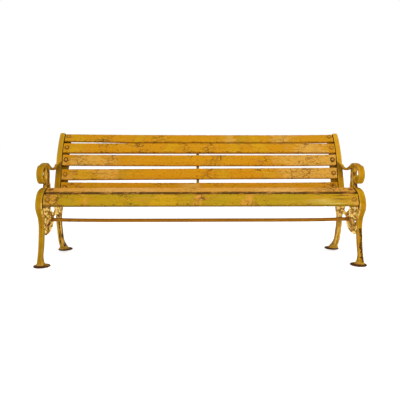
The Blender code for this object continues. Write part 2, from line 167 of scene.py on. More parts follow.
def veins(place, stretch, size, width):  # thin lines round broken cells
    tree, spread = place.id_data, spreadOut(place, stretch)
    wander = make(tree, "ShaderNodeTexNoise", {
        "Vector": spread, "Scale": size * veinShape["wanderScale"], "Detail": veinShape["wanderDetail"]})
    bent = make(tree, "ShaderNodeMix", {
        0: veinShape["bend"], 4: spread, 5: wander.outputs["Color"]}, data_type="VECTOR").outputs[1]
    cells = make(tree, "ShaderNodeTexVoronoi", {"Vector": bent, "Scale": size}, feature="DISTANCE_TO_EDGE")
    return step(cells.outputs["Distance"], width, width * veinShape["core"])


def startPaint(name):
    material = bpy.data.materials.new(name)
    material.use_nodes = True
    return material, make(material.node_tree, "ShaderNodeTexCoord").outputs["Object"]


def layAll(tree, look, coats):  # coats of (colour, cover) over the first coat
    colour = (*look["coat"], 1.0)
    for label, cover in coats:
        inputs = {0: cover, 6: colour, 7: (*look[label], 1.0)}
        colour = make(tree, "ShaderNodeMix", inputs, data_type="RGBA").outputs[2]
    return colour


def finishPaint(material, look, coats, wear, height):
    tree = material.node_tree
    shader = tree.nodes["Principled BSDF"]
    smoothest, roughest = look["roughness"]
    strength, depth = look["bump"]
    rough = make(tree, "ShaderNodeMapRange", {"Value": wear, "To Min": smoothest, "To Max": roughest})
    bump = make(tree, "ShaderNodeBump", {"Height": height, "Strength": strength, "Distance": depth})
    tree.links.new(layAll(tree, look, coats), shader.inputs["Base Color"])
    tree.links.new(rough.outputs[0], shader.inputs["Roughness"])
    tree.links.new(bump.outputs[0], shader.inputs["Normal"])
    shader.inputs["Specular IOR Level"].default_value = look["specular"]
    return material


woodLook = {
    "coat": (0.552, 0.188, 0.002),
    "fresh": (0.560, 0.285, 0.006),
    "orange": (0.650, 0.200, 0.014),
    "amber": (0.420, 0.150, 0.004),
    "pale": (0.700, 0.400, 0.112),
    "olive": (0.360, 0.235, 0.008),
    "creamHighlight": (0.820, 0.620, 0.250),
    "rubbed": (0.330, 0.105, 0.012),
    "rust": (0.075, 0.020, 0.004),
    "bare": (0.095, 0.038, 0.010),
    "paintedShade": (0.035, 0.017, 0.007),
    "freshAmount": 0.40,
    "oliveAmount": 0.0,
    "orangeAmount": 0.75,
    "orangeFrom": 0.52,
    "amberAmount": 0.75,
    "grainAmount": 0.28,
    "underAmount": 0.05,
    "gapShadeAmount": 0.0,
    "patchEdge": 0.04,
    "patchCover": {"pale": 0.86, "fresh": 0.90, "olive": 0.75},
    "roughness": (0.60, 0.85),
    "bump": (0.45, 0.0012),
    "specular": 0.04,
}
nosingLook = dict(
    woodLook, coat=(0.372, 0.222, 0.003), fresh=(0.470, 0.266, 0.006), orange=(0.660, 0.260, 0.050),
    amber=(0.300, 0.170, 0.004), pale=(0.680, 0.270, 0.070), olive=(0.230, 0.193, 0.009),
    creamHighlight=(0.600, 0.470, 0.140), oliveAmount=0.85, orangeAmount=0.85, orangeFrom=0.538, patchEdge=0.09,
    underAmount=0.30)
seatLook = dict(
    woodLook, coat=(0.670, 0.300, 0.024), fresh=(0.650, 0.320, 0.048), orange=(0.680, 0.255, 0.037),
    pale=(0.780, 0.430, 0.130), orangeAmount=0.50, amberAmount=0.35, grainAmount=0.50, underAmount=0.30,
    gapShadeAmount=0.74)


def paintedWood(name, look):  # flaking ochre paint over orange primer and brown wood, with a painted sheen, painted shade in the seat's front gap, and darker lower edges partly painted shade
    material, place = startPaint(name)
    tree = material.node_tree
    arris, under, rubbed = (marked(place, label) for label in ("arris", "under", "rub"))
    bolt = make(tree, "ShaderNodeUVMap", uv_map="boltUv").outputs["UV"]
    fromBolt = make(tree, "ShaderNodeVectorMath", {0: bolt}, operation="LENGTH").outputs["Value"]

    broad = cloud(place, (1.6, 9, 9), 2.6, 4, 0.6, warp=0.4)
    streak = cloud(place, (2.0, 95, 95), 1.6, 4, 0.65)
    blotch = cloud(place, (6.0, 20, 20), 2.2, 5, 0.7, (3.1, 0, 0), 0.8)
    crumb = cloud(place, (24, 60, 60), 1.6, 4, 0.7, (0, 2.6, 0), 0.5)
    fleck = cloud(place, (44, 90, 90), 1.5, 3, 0.7, (0, 1.3, 0))
    green = cloud(place, (1.3, 8, 8), 2.2, 4, 0.6, (1.7, 2.2, 0))
    amber = cloud(place, (5, 26, 26), 2.3, 5, 0.7, (7, 3, 0), 0.6)
    rough = cloud(place, (11, 30, 30), 2.0, 4, 0.7, (0, 4, 0))
    gapBreak = cloud(place, (7, 30, 30), 1.8, 4, 0.7, (2, 0, 6))

    flaked = plus(times(blotch, 0.75), times(crumb, 0.25))
    flakes = step(flaked, look["orangeFrom"], look["orangeFrom"] + 0.06)
    coats = [
        ("fresh", times(step(broad, 0.44, 0.58), look["freshAmount"])),
        ("olive", times(step(green, 0.44, 0.56), look["oliveAmount"])),
        ("orange", times(flakes, look["orangeAmount"])),
        ("amber", times(step(amber, 0.55, 0.64), look["amberAmount"]))]
    torn = plus(times(blotch, 0.72), times(crumb, 0.30))
    outline = 0.0
    for label, cover in look["patchCover"].items():  # placed patches with torn borders
        patch = plus(torn, times(marked(place, label), 0.20))
        coats.append((label, times(step(patch, 0.60, 0.60 + look["patchEdge"]), cover)))
        outline = higher(times(step(patch, 0.575, 0.60), step(patch, 0.625, 0.60)), outline)
    rub = step(plus(times(crumb, 0.9), times(rubbed, 0.10)), 0.56, 0.66)
    crackArea = step(plus(times(broad, 0.9), times(rubbed, 0.16)), 0.50, 0.60)
    cracks = times(veins(place, (15, 26, 26), 1.7, 0.056), crackArea)
    splits = times(marked(place, "split"), step(streak, 0.50, 0.55))
    chips = higher(step(plus(plus(fleck, times(arris, 0.05)), times(rubbed, 0.03)), 0.63, 0.66),
                   times(step(blotch, 0.72, 0.73), 0.8))
    wornEdge = times(arris, step(rough, 0.52, 0.62))
    # painted shade: a broken dark line in the gap where the seat meets the front slat
    gapShade = times(under, step(gapBreak, 0.37, 0.53))
    # dark ring round each bolt: rust, and painted shade where a counterbore round the head would be
    ring = times(step(fromBolt, 0.0190, 0.0135), step(crumb, 0.30, 0.50))
    halo = times(step(fromBolt, 0.034, 0.013), step(crumb, 0.42, 0.60))
    coats += [
        ("fresh", 0.55),
        ("bare", times(step(streak, 0.52, 0.74), look["grainAmount"])),
        ("pale", times(step(streak, 0.46, 0.28), 0.26)),
        # painted highlight: a cream sheen streak along the lower half of the front slat
        ("creamHighlight", times(marked(place, "sheen"), step(streak, 0.62, 0.40))),
        ("rubbed", times(rub, plus(times(rubbed, 0.45), 0.30))),
        ("rubbed", times(outline, times(crumb, 0.75))),
        ("bare", higher(times(cracks, 0.84), splits)),
        ("bare", times(chips, 0.80)),
        ("bare", times(wornEdge, 0.45)),
        # darker lower edge: worn paint and painted shade under the rounded arris
        ("bare", times(under, look["underAmount"])),
        ("paintedShade", times(gapShade, look["gapShadeAmount"])),
        ("rubbed", times(halo, 0.45)),
        ("rust", times(ring, marked(place, "boltRustAndShade")))]
    height = plus(times(streak, 0.45), times(plus(plus(cracks, chips), wornEdge), -0.55))
    return finishPaint(material, look, coats, plus(chips, times(streak, 0.5)), height)


ironLook = {
    "coat": (0.395, 0.178, 0.0005),
    "bright": (0.500, 0.258, 0.003),
    "litGold": (1.000, 0.530, 0.040),
    "pale": (1.000, 0.720, 0.205),
    "creamHighlight": (1.000, 0.765, 0.265),
    "olive": (0.265, 0.138, 0.001),
    "shadow": (0.300, 0.115, 0.008),
    "shadeAndChips": (0.075, 0.023, 0.001),
    "rust": (0.066, 0.024, 0.009),
    "paintedShade": (0.050, 0.024, 0.006),
    "roughness": (0.50, 0.78),
    "bump": (0.35, 0.0015),
    "specular": 0.03,
}


def paintedIron(name, look):  # many coats over cast iron, with painted highlights on the ridges and painted shade in the recesses
    material, place = startPaint(name)
    relief, lightLift, bare, paintedShade, crest, highlightAndWear, darkening = (marked(place, label) for label in (
        "relief", "lightLift", "bare", "paintedShade", "crest", "highlightAndWear", "darkening"))
    up = make(material.node_tree, "ShaderNodeSeparateXYZ", {0: place}).outputs["Z"]

    broad = cloud(place, (7, 7, 7), 1.3, 4, 0.6)
    mottle = cloud(place, (42, 42, 42), 1.2, 4, 0.65)
    fleck = cloud(place, (150, 150, 150), 1.0, 2, 0.6)
    blot = cloud(place, (15, 15, 15), 1.4, 3, 0.6, (2, 8, 0))
    patch = cloud(place, (34, 12, 29), 1.4, 2, 0.6, (5, 1, 0))  # coarse along y, which is seen end on
    fullLift = step(lightLift, 0.45, 0.90)  # the fretwork only, where the painted highlights and shade are strongest
    offCrest = times(fullLift, step(crest, 0.8, 0.2))
    # painted highlights in patches along the main strands
    crestHighlight = times(times(fullLift, crest), step(patch, 0.54, 0.47))
    # painted highlight on the ridges
    ridge = times(step(plus(relief, times(mottle, 0.10)), 0.60, 0.78), plus(fullLift, 0.10))
    # painted shade in the recesses
    hollowShade = times(step(relief, 0.46, 0.24), plus(lightLift, 0.40))
    # patches of painted shade on and between the strands
    shadePatches = times(step(patch, 0.530, 0.565), plus(times(offCrest, 0.30), 0.68))
    chips = step(plus(fleck, times(bare, 0.10)), 0.65, 0.69)
    sole = times(step(up, 0.025, 0.012), step(plus(mottle, 0.18), 0.47, 0.62))
    coats = [
        ("bright", step(broad, 0.40, 0.64)),
        ("olive", times(step(mottle, 0.52, 0.68), 0.60)),
        ("olive", times(step(blot, 0.50, 0.62), 0.45)),
        # painted shade over the whole left end, olive mottle on the arms
        ("olive", darkening),
        # painted light: a lighter golden copy of the paint, lifting faces that lie in shade
        ("litGold", times(lightLift, 0.75)),
        ("shadow", times(offCrest, 0.80)),
        ("pale", times(ridge, 0.70)),
        ("creamHighlight", times(crestHighlight, 0.95)),
        ("shadeAndChips", times(hollowShade, 0.65)),
        ("shadeAndChips", times(fullLift, shadePatches)),
        # painted highlights on legs, feet and post, with some worn paint at the knee
        ("pale", highlightAndWear),
        ("shadeAndChips", times(chips, 0.75)),
        ("rust", higher(sole, times(bare, step(mottle, 0.34, 0.46)))),
        # painted shade on the slat ledge and on the rail under the arm
        ("paintedShade", times(paintedShade, 0.82))]
    height = plus(times(mottle, 0.6), times(chips, -0.4))
    return finishPaint(material, look, coats, plus(hollowShade, mottle), height)


rodLook = {
    "coat": (0.335, 0.130, 0.004),
    "bright": (0.420, 0.185, 0.009),
    "worn": (0.165, 0.054, 0.006),
    "bare": (0.022, 0.014, 0.010),
    "grain": (5, 60, 60),
    "wear": 0.55,
    "roughness": (0.55, 0.82),
    "bump": (0.4, 0.0008),
    "specular": 0.08,
}
boltLook = dict(
    rodLook, coat=(0.430, 0.205, 0.012), bright=(0.550, 0.295, 0.030), worn=(0.120, 0.034, 0.006),
    grain=(120, 120, 120), wear=0.56)
nutLook = dict(
    rodLook, coat=(0.260, 0.115, 0.010), bright=(0.360, 0.180, 0.020), worn=(0.095, 0.034, 0.010),
    grain=(90, 90, 90), wear=0.47)
strapLook = dict(
    rodLook, coat=(0.300, 0.135, 0.008), bright=(0.380, 0.190, 0.012), worn=(0.100, 0.042, 0.010),
    grain=(60, 24, 24), wear=0.52)


def wornSteel(name, look):  # painted steel rubbed and rusted through
    material, place = startPaint(name)
    broad = cloud(place, look["grain"], 0.8, 4, 0.6)
    fine = cloud(place, look["grain"], 3.1, 3, 0.7, (0, 2, 1))
    worn = step(plus(times(broad, 0.45), times(fine, 0.55)), look["wear"], look["wear"] + 0.09)
    bare = step(cloud(place, look["grain"], 1.7, 4, 0.7, (3, 0, 5)), 0.66, 0.70)
    rim = marked(place, "rim")  # rust and painted shade round the bolt domes, rust at the rod's ends
    soot = marked(place, "soot")  # black chips under the rod
    coats = [
        ("bright", step(broad, 0.38, 0.66)),
        ("worn", higher(times(worn, 0.85), times(rim, 0.85))),
        ("bare", higher(bare, soot))]
    return finishPaint(material, look, coats, plus(worn, bare), plus(times(fine, 0.4), times(worn, -0.5)))


backPaint = paintedWood("ochrePaintOnBackSlats", woodLook)
nosingPaint = paintedWood("oliveOchrePaintAndSheenOnFrontSlat", nosingLook)
seatPaint = paintedWood("rubbedPaintAndGapShadeOnSeatSlats", seatLook)
ironPaint = paintedIron("ochrePaintWithPaintedLightOnCastIron", ironLook)
rodPaint = wornSteel("brownPaintOnRod", rodLook)
boltPaint = wornSteel("paintOnBoltHeads", boltLook)
nutPaint = wornSteel("rustyNuts", nutLook)
strapPaint = wornSteel("paintOnStrap", strapLook)
print("materials made")


# slats

slatShape = {
    "length": 1.830, "width": 0.069, "thickness": 0.025, "edgeRound": 0.0036, "cuts": 240,
    "rows": (0.011, 0.024), "chipDepth": 0.0011, "chipFrom": 0.12, "cornerReach": 0.0056, "waver": 0.0004,
    "seedStep": 3.7, "arrisReach": 0.006, "underReach": 0.003, "boltInset": 0.023, "topBoltRise": 0.010,
    "bands": {"sheen": (-0.026, -0.008), "split": (0.0, 0.026)},  # marks on part of the slat's height
    "bow": {"back_slat_1": 0.0065, "back_slat_3": 0.0045, "back_slat_5": 0.004}, "bowPower": (5.0, 2.2),
    "undercut": 0.008, "undercutReach": 0.011, "slit": {"from": -0.48, "fade": 0.22, "rise": 0.0050},
    "grow": {  # thick paint on the lower and upper edge
        "back_slat_1": (0.0, 0.0018), "back_slat_2": (0.0018, 0.0), "back_slat_3": (0.0022, 0.0018),
        "back_slat_4": (0.0018, 0.0018), "back_slat_5": (0.0, 0.0012), "seat_slat_1_nosing": (0.0025, 0.0)},
}
wornSpotsAndSheen = {  # slat: (kind, place along it, half length); the sheen kind is a painted highlight
    "back_slat_1": (
        ("fresh", -0.84, 0.07), ("rub", -0.62, 0.04), ("fresh", -0.41, 0.03), ("rub", -0.28, 0.04),
        ("pale", 0.20, 0.05), ("olive", 0.29, 0.04), ("fresh", 0.37, 0.05), ("pale", 0.56, 0.07),
        ("rub", 0.57, 0.03)),
    "back_slat_2": (
        ("fresh", -0.84, 0.06), ("rub", -0.63, 0.06), ("rub", -0.40, 0.06), ("fresh", -0.19, 0.04),
        ("rub", -0.10, 0.03), ("rub", 0.06, 0.04), ("fresh", 0.22, 0.04), ("fresh", 0.40, 0.06),
        ("pale", 0.74, 0.13), ("rub", 0.70, 0.04)),
    "back_slat_3": (
        ("pale", -0.75, 0.18), ("rub", -0.80, 0.06), ("rub", -0.60, 0.04), ("rub", 0.09, 0.04),
        ("rub", 0.42, 0.03), ("pale", 0.69, 0.20), ("pale", 0.82, 0.12), ("rub", 0.74, 0.10)),
    "back_slat_4": (
        ("fresh", -0.76, 0.10), ("pale", -0.80, 0.10), ("rub", -0.82, 0.02), ("pale", -0.64, 0.12),
        ("rub", -0.68, 0.03), ("olive", -0.52, 0.03), ("fresh", -0.48, 0.03), ("rub", 0.04, 0.05),
        ("fresh", 0.15, 0.04), ("rub", 0.29, 0.04), ("fresh", 0.45, 0.07), ("pale", 0.70, 0.22),
        ("pale", 0.80, 0.16), ("rub", 0.68, 0.10)),
    "back_slat_5": (("rub", -0.82, 0.05), ("pale", -0.06, 0.07), ("rub", 0.10, 0.03), ("rub", 0.86, 0.05)),
    "seat_slat_1_nosing": (
        ("pale", -0.88, 0.06), ("rub", -0.86, 0.06), ("olive", -0.78, 0.05), ("pale", -0.68, 0.02),
        ("olive", -0.55, 0.12), ("rub", -0.44, 0.04), ("fresh", -0.21, 0.09), ("olive", -0.10, 0.02),
        ("pale", -0.02, 0.04), ("rub", -0.03, 0.05), ("olive", 0.13, 0.07), ("pale", 0.265, 0.035),
        ("olive", 0.47, 0.14), ("split", 0.80, 0.06), ("sheen", 0.74, 0.10), ("pale", 0.89, 0.05)),
    "seat_slat_2": (("pale", -0.45, 0.24), ("pale", 0.45, 0.16), ("rub", 0.76, 0.12)),
}
boltRustAndShade = {  # rust and painted shade round the bolt at the left and right end
    "back_slat_1": (0.45, 0.60), "back_slat_2": (0.80, 0.45), "back_slat_3": (0.90, 1.0),
    "back_slat_4": (0.55, 0.75), "back_slat_5": (0.90, 0.60), "seat_slat_1_nosing": (0.55, 0.45),
    "others": (0.7, 0.7),
}


def rustAndShadeAt(name, right):
    return boltRustAndShade.get(name, boltRustAndShade["others"])[right]


def slatFrame(name):  # middle, along, across and outward directions of a slat, read from its CAD node
    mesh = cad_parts[name].data
    points = np.array([v.co for v in mesh.vertices])
    axes = np.linalg.eigh(np.cov(points.T))[1]
    along, across, out = (Vector(axes[:, i]) for i in (2, 1, 0))
    along *= 1 if along.x > 0 else -1
    across *= 1 if across.y + across.z > 0 else -1
    out *= 1 if out.z - out.y > 0 else -1
    middle = Vector()
    for axis in (along, across, out):
        reach = points @ np.array(axis)
        middle += axis * float(reach.min() + reach.max()) / 2
    return middle, along, across, out


slatFrames = {name: slatFrame(name) for name in slatNames}


def frameMatrix(middle, along, across, out):
    turn = Matrix((along, across, out)).transposed().to_4x4()
    return Matrix.Translation(middle) @ turn


def boltRise(name):
    return slatShape["topBoltRise"] if name == topSlat else 0.0


def boltPlace(name, side):  # where the bolt's axis meets the slat's face
    middle, along, across, out = slatFrames[name]
    reach = slatShape["length"] / 2 - slatShape["boltInset"]
    return middle + along * side * reach + across * boltRise(name) + out * slatShape["thickness"] / 2


def slatBox(half):  # rounded along its length, cut into rows and stations
    bm = bmesh.new()
    bmesh.ops.create_cube(bm, size=1.0)
    bmesh.ops.scale(bm, verts=bm.verts, vec=half * 2)

    def longEdges():
        return [e for e in bm.edges if abs(e.verts[0].co.x - e.verts[1].co.x) > half.x]

    bmesh.ops.bevel(bm, geom=longEdges(), offset=slatShape["edgeRound"], offset_type="OFFSET", segments=3,
                    profile=0.5, affect="EDGES", material=-1)
    for row in slatShape["rows"]:
        for sign in (-1, 1):
            bmesh.ops.bisect_plane(bm, geom=bm.verts[:] + bm.edges[:] + bm.faces[:],
                                   plane_co=(0, sign * (half.y - row), 0), plane_no=(0, 1, 0))
    bmesh.ops.subdivide_edges(bm, edges=longEdges(), cuts=slatShape["cuts"], use_grid_fill=True)
    return bm


def markSlat(bm, name, half, seed):  # stores where each kind of wear lies
    labels = ("arris", "under", "rub", "fresh", "pale", "olive", "split", "sheen", "boltRustAndShade")
    marks = {label: bm.verts.layers.float.new(label) for label in labels}
    boltUv = bm.loops.layers.uv.new("boltUv")
    reach, rise = half.x - slatShape["boltInset"], boltRise(name)
    for face in bm.faces:
        for loop in face.loops:
            loop[boltUv].uv = (abs(loop.vert.co.x) - reach, loop.vert.co.y - rise)
    for v in bm.verts:
        x, y, z = v.co
        v[marks["arris"]] = 1.0 if abs(y) > half.y - slatShape["arrisReach"] else 0.0
        v[marks["under"]] = 1.0 if y < slatShape["underReach"] - half.y else 0.0
        v[marks["boltRustAndShade"]] = rustAndShadeAt(name, x > 0)
        for kind, middle, spread in wornSpotsAndSheen.get(name, ()):
            low, high = slatShape["bands"].get(kind, (-1, 1))
            if low < y < high:
                lean = math.sin(middle * 37 + seed) * y * 0.9
                wander = 0.030 * ripple(x * 14, y * 45 + seed, middle * 9)
                v[marks[kind]] += math.exp(-((x + lean + wander - middle) / spread) ** 2)


def shapeSlat(bm, name, half, seed):  # chipped edges, uneven face, thick paint and a slight bow
    near, slit = slatShape["cornerReach"], slatShape["slit"]
    lower, upper = slatShape["grow"].get(name, (0.0, 0.0))
    bow = slatShape["bow"].get(name, 0.0)
    for v in bm.verts:
        x, y, z = v.co
        corner = max(abs(y) - half.y + near, 0.0) * max(abs(z) - half.z + near, 0.0) / near ** 2
        bite = ripple(x * 38 + seed, y * 60, z * 90) + 0.6 * ripple(x * 95, y * 120 + seed, z * 120)
        dent = slatShape["chipDepth"] * max(bite - slatShape["chipFrom"], 0.0) * min(corner * 6, 1.0)
        reach = x / half.x
        v.co.y -= math.copysign(dent, y)
        v.co.z -= math.copysign(dent, z)
        v.co.z += slatShape["waver"] * ripple(x * 4.0, y * 16 + seed, z * 8) * (z > 0)
        v.co.y += (upper if y > 0 else lower) * y / half.y
        v.co.y -= bow * (1 - abs(reach) ** slatShape["bowPower"][reach < 0])
        if name == topSlat and z < 0 and y < slatShape["undercutReach"] - half.y:
            v.co.y += slatShape["undercut"]  # lets light through above the next slat
        if name == topSlat and y < 0:
            v.co.y += slit["rise"] * limited((slit["from"] - x) / slit["fade"])


def makeSlat(name, material):
    half = Vector((slatShape["length"], slatShape["width"], slatShape["thickness"])) / 2
    seed = slatNames.index(name) * slatShape["seedStep"]
    bm = slatBox(half)
    markSlat(bm, name, half, seed)
    shapeSlat(bm, name, half, seed)
    bmesh.ops.transform(bm, matrix=frameMatrix(*slatFrames[name]), verts=bm.verts)
    finishPiece("slat_" + name, bm, material, "slat_wood", name)


for name in slatNames:
    makeSlat(name, nosingPaint if name == nosing else seatPaint if name in seatNames else backPaint)
print("slats made:", len(slatNames))


# cast-iron ends

railShape = {
    "inner": 0.920, "webTop": 0.008, "webThickness": 0.013, "ledgeReach": 0.043, "ledgeThickness": 0.008,
    "clearance": 0.0003, "foot": 0.003, "head": 0.014, "seatMargin": 0.003, "backMargin": 0.006,
}
legShape = {  # (y, z, thickness, inner x, outer x)
    "seatAndFrontLeg": (
        (0.376, 0.438, 0.012, 0.9205, 0.9560), (0.330, 0.4215, 0.012, 0.9205, 0.9560),
        (0.270, 0.434, 0.012, 0.9205, 0.9560), (0.200, 0.4555, 0.012, 0.9205, 0.9560),
        (0.140, 0.469, 0.012, 0.9205, 0.9565), (0.100, 0.4735, 0.013, 0.9205, 0.9570),
        (0.060, 0.4685, 0.014, 0.9205, 0.9580), (0.030, 0.457, 0.015, 0.9205, 0.9590),
        (0.008, 0.439, 0.017, 0.9205, 0.9595), (-0.006, 0.416, 0.020, 0.9210, 0.9600),
        (-0.013, 0.392, 0.025, 0.9215, 0.9600), (-0.011, 0.371, 0.031, 0.9220, 0.9600),
        (0.004, 0.348, 0.034, 0.9235, 0.9605), (0.028, 0.320, 0.034, 0.9270, 0.9605),
        (0.043, 0.286, 0.032, 0.9305, 0.9610), (0.047, 0.240, 0.030, 0.9320, 0.9615),
        (0.048, 0.130, 0.028, 0.9390, 0.9675), (0.053, 0.070, 0.030, 0.9475, 0.9755),
        (0.066, 0.020, 0.044, 0.9470, 0.9860)),
    "backAndRearLeg": (
        (0.549, 0.8255, 0.009, 0.9285, 0.9435), (0.546, 0.8225, 0.012, 0.9215, 0.9505),
        (0.540, 0.816, 0.013, 0.9195, 0.9525), (0.530, 0.805, 0.013, 0.9195, 0.9525),
        (0.501, 0.771, 0.013, 0.9195, 0.9525), (0.474, 0.729, 0.013, 0.9195, 0.9525),
        (0.450, 0.682, 0.013, 0.9200, 0.9535), (0.434, 0.636, 0.013, 0.9200, 0.9545),
        (0.417, 0.582, 0.013, 0.9205, 0.9555), (0.401, 0.528, 0.014, 0.9210, 0.9570),
        (0.387, 0.475, 0.018, 0.9215, 0.9585), (0.387, 0.430, 0.026, 0.9225, 0.9580),
        (0.397, 0.385, 0.032, 0.9230, 0.9585), (0.412, 0.325, 0.033, 0.9265, 0.9605),
        (0.428, 0.240, 0.032, 0.9295, 0.9610), (0.438, 0.190, 0.031, 0.9305, 0.9620),
        (0.478, 0.105, 0.031, 0.9330, 0.9655), (0.516, 0.069, 0.032, 0.9350, 0.9695),
        (0.570, 0.039, 0.030, 0.9375, 0.9740), (0.632, 0.016, 0.020, 0.9400, 0.9800)),
    "frontLegStart": 10,  # station where the front leg begins
    "fillets": (0.18, 0.82),  # raised lines down the rear leg, as shares of its width
    "filletStart": 11, "filletProud": 0.004, "filletHalf": 0.003,
}
footShape = {
    "width": 0.100, "ankleInset": 0.006, "soleTop": 0.003, "ringSides": 32,
    "levels": (  # height and share of the full size
        (0.0, 0.97), (0.002, 1.0), (0.006, 1.0), (0.009, 0.92), (0.013, 0.80), (0.022, 0.53), (0.042, 0.36)),
    "front": {"x": 0.970, "y": 0.104, "length": 0.118, "ankle": 0.060},
    "rear": {"x": 0.968, "y": 0.660, "length": 0.128, "ankle": 0.552},
}
armShape = {  # neck as (y, z, thickness, inner x, outer x)
    "inner": 0.9215, "outer": 0.9575,
    "neck": (
        (0.429, 0.613, 0.013, 0.9495, 0.9625), (0.404, 0.596, 0.014, 0.9485, 0.9625),
        (0.365, 0.588, 0.014, 0.9465, 0.9620), (0.300, 0.588, 0.013, 0.9435, 0.9610),
        (0.220, 0.603, 0.013, 0.9355, 0.9590), (0.150, 0.620, 0.013, 0.9265, 0.9575),
        (0.100, 0.617, 0.013, 0.9215, 0.9575), (0.060, 0.606, 0.013, 0.9215, 0.9575)),
    "centre": (0.060, 0.556), "firstRadius": 0.052, "lastRadius": 0.036, "thickness": 0.013,
    "firstAngle": 95, "sweep": 250, "tighten": 1.6, "steps": 30, "bud": (0.0165, 0.010, 0.010),
}
postShape = {
    "inner": 0.9235, "outer": 0.9475, "slabInset": 0.0080, "slabShare": 0.94,
    "line": (
        (0.130, 0.458, 0.084), (0.130, 0.486, 0.084), (0.131, 0.520, 0.068),
        (0.133, 0.556, 0.058), (0.133, 0.588, 0.066), (0.130, 0.616, 0.080)),
    "ribs": (-0.40, 0.0, 0.40), "ribWidth": 0.19, "ribWave": 0.05, "ribSpread": 0.96,
    "edgeBuds": 6, "budSize": 0.0062, "budLong": 1.35, "budHalf": 0.0095, "budTilt": 50, "budOut": 0.47,
}
fretShape = {
    "inner": 0.9305, "outer": 0.9485, "inset": 0.001, "ridge": 0.0055, "ridgeShare": 0.4,
    "ridgeProud": 0.0014, "leafEvery": 4, "leafSize": 0.0115, "leafHalf": 0.0088, "leafWide": 0.55,
    "leafTurn": 42, "leafOut": 0.9, "endHalf": 0.0098, "endShare": 0.62,
    "strands": {
        "lobe": (
            (0.040, 0.266, 0.016), (0.055, 0.234, 0.017), (0.080, 0.213, 0.018), (0.113, 0.207, 0.020),
            (0.155, 0.210, 0.019), (0.200, 0.225, 0.018), (0.232, 0.251, 0.017), (0.243, 0.284, 0.016),
            (0.228, 0.312, 0.016), (0.200, 0.320, 0.016), (0.172, 0.308, 0.014), (0.180, 0.286, 0.014)),
        "front": (
            (0.034, 0.312, 0.016), (0.062, 0.343, 0.017), (0.083, 0.378, 0.017), (0.092, 0.412, 0.018),
            (0.090, 0.452, 0.018)),
        "inner": (
            (0.046, 0.284, 0.016), (0.088, 0.296, 0.016), (0.124, 0.322, 0.016), (0.140, 0.356, 0.016),
            (0.146, 0.400, 0.018), (0.150, 0.448, 0.018)),
        "cross": (
            (0.018, 0.380, 0.014), (0.058, 0.352, 0.016), (0.100, 0.322, 0.018), (0.140, 0.303, 0.016),
            (0.178, 0.290, 0.014)),
        "centre": (
            (0.196, 0.318, 0.014), (0.176, 0.344, 0.016), (0.186, 0.374, 0.017), (0.196, 0.404, 0.018),
            (0.196, 0.436, 0.018)),
        "rearBracket": (
            (0.428, 0.262, 0.024), (0.400, 0.290, 0.038), (0.364, 0.316, 0.046), (0.330, 0.342, 0.040),
            (0.308, 0.370, 0.030), (0.300, 0.408, 0.022)),
        "rearArm": (
            (0.345, 0.320, 0.018), (0.305, 0.304, 0.017), (0.272, 0.301, 0.015), (0.240, 0.292, 0.014)),
        "heel": (
            (0.432, 0.262, 0.014), (0.456, 0.296, 0.015), (0.470, 0.334, 0.016), (0.458, 0.372, 0.016),
            (0.430, 0.402, 0.015), (0.402, 0.428, 0.014)),
        "drop": (
            (0.186, 0.264, 0.015), (0.158, 0.252, 0.022), (0.134, 0.232, 0.022), (0.120, 0.209, 0.014)),
        "lobeLeaf": (
            (0.048, 0.268, 0.016), (0.078, 0.256, 0.026), (0.099, 0.238, 0.025), (0.112, 0.212, 0.014)),
        "fillLeaf": (
            (0.164, 0.284, 0.012), (0.146, 0.270, 0.024), (0.126, 0.256, 0.024), (0.106, 0.238, 0.014)),
        "heelLeaf": (
            (0.424, 0.268, 0.012), (0.398, 0.274, 0.022), (0.372, 0.286, 0.024), (0.350, 0.306, 0.016)),
    },
    "boss": (0.195, 0.276), "bossRadius": 0.023, "bossInner": 0.9335, "bossOuter": 0.9575,
}
castShape = {"bodyVoxel": 0.0023, "ornamentVoxel": 0.0018, "softening": 3,
             "plump": 0.0012, "reliefRounds": 24, "reliefSpan": 0.0016}


def castBar(bm, stations, squareness=0.5, ringSides=16):  # bar along (y, z, thickness, inner x, outer x)
    loops = []
    last = len(stations) - 1
    plump = castShape["plump"]  # many coats of paint, and what the smoothing takes off
    for i, (y, z, thickness, inner, outer) in enumerate(stations):
        before = stations[max(i - 1, 0)]
        after = stations[min(i + 1, last)]
        run = Vector((0, after[0] - before[0], after[1] - before[1])).normalized()
        over = Vector((0, -run.z, run.y))
        centre = Vector(((inner + outer) / 2, y, z))
        ring, edges = ringOf(bm, ringSides)
        for v in ring:
            wide = math.copysign(abs(v.co.x) ** squareness, v.co.x) * ((outer - inner) / 2 + plump)
            deep = math.copysign(abs(v.co.y) ** squareness, v.co.y) * (thickness / 2 + plump)
            v.co = centre + Vector((wide, 0, 0)) + over * deep
        loops.append(edges)
    bridgeRings(bm, loops)


def castBud(bm, centre, halfSizes, tilt=0.0):  # rounded lump, tilted about x
    turn = Matrix.Rotation(tilt, 4, "X") @ Matrix.Diagonal((*halfSizes, 1.0))
    bmesh.ops.create_icosphere(bm, subdivisions=3, radius=1.0, matrix=Matrix.Translation(centre) @ turn)


def railLine():  # side-view line through the slat faces, flat for a margin beyond each slat
    line = []
    for name in slatNames:
        middle, along, across, out = slatFrames[name]
        face = middle + out * slatShape["thickness"] / 2
        face.x = 0.0
        rise = Vector((0, across.y, across.z)).normalized()
        margin = railShape["seatMargin"] if name in seatNames else railShape["backMargin"]
        low = railShape["foot"] if name == slatNames[0] else margin
        high = railShape["head"] if name == slatNames[-1] else margin
        line.append(face - rise * (slatShape["width"] / 2 + low))
        line.append(face + rise * (slatShape["width"] / 2 + high))
    return line


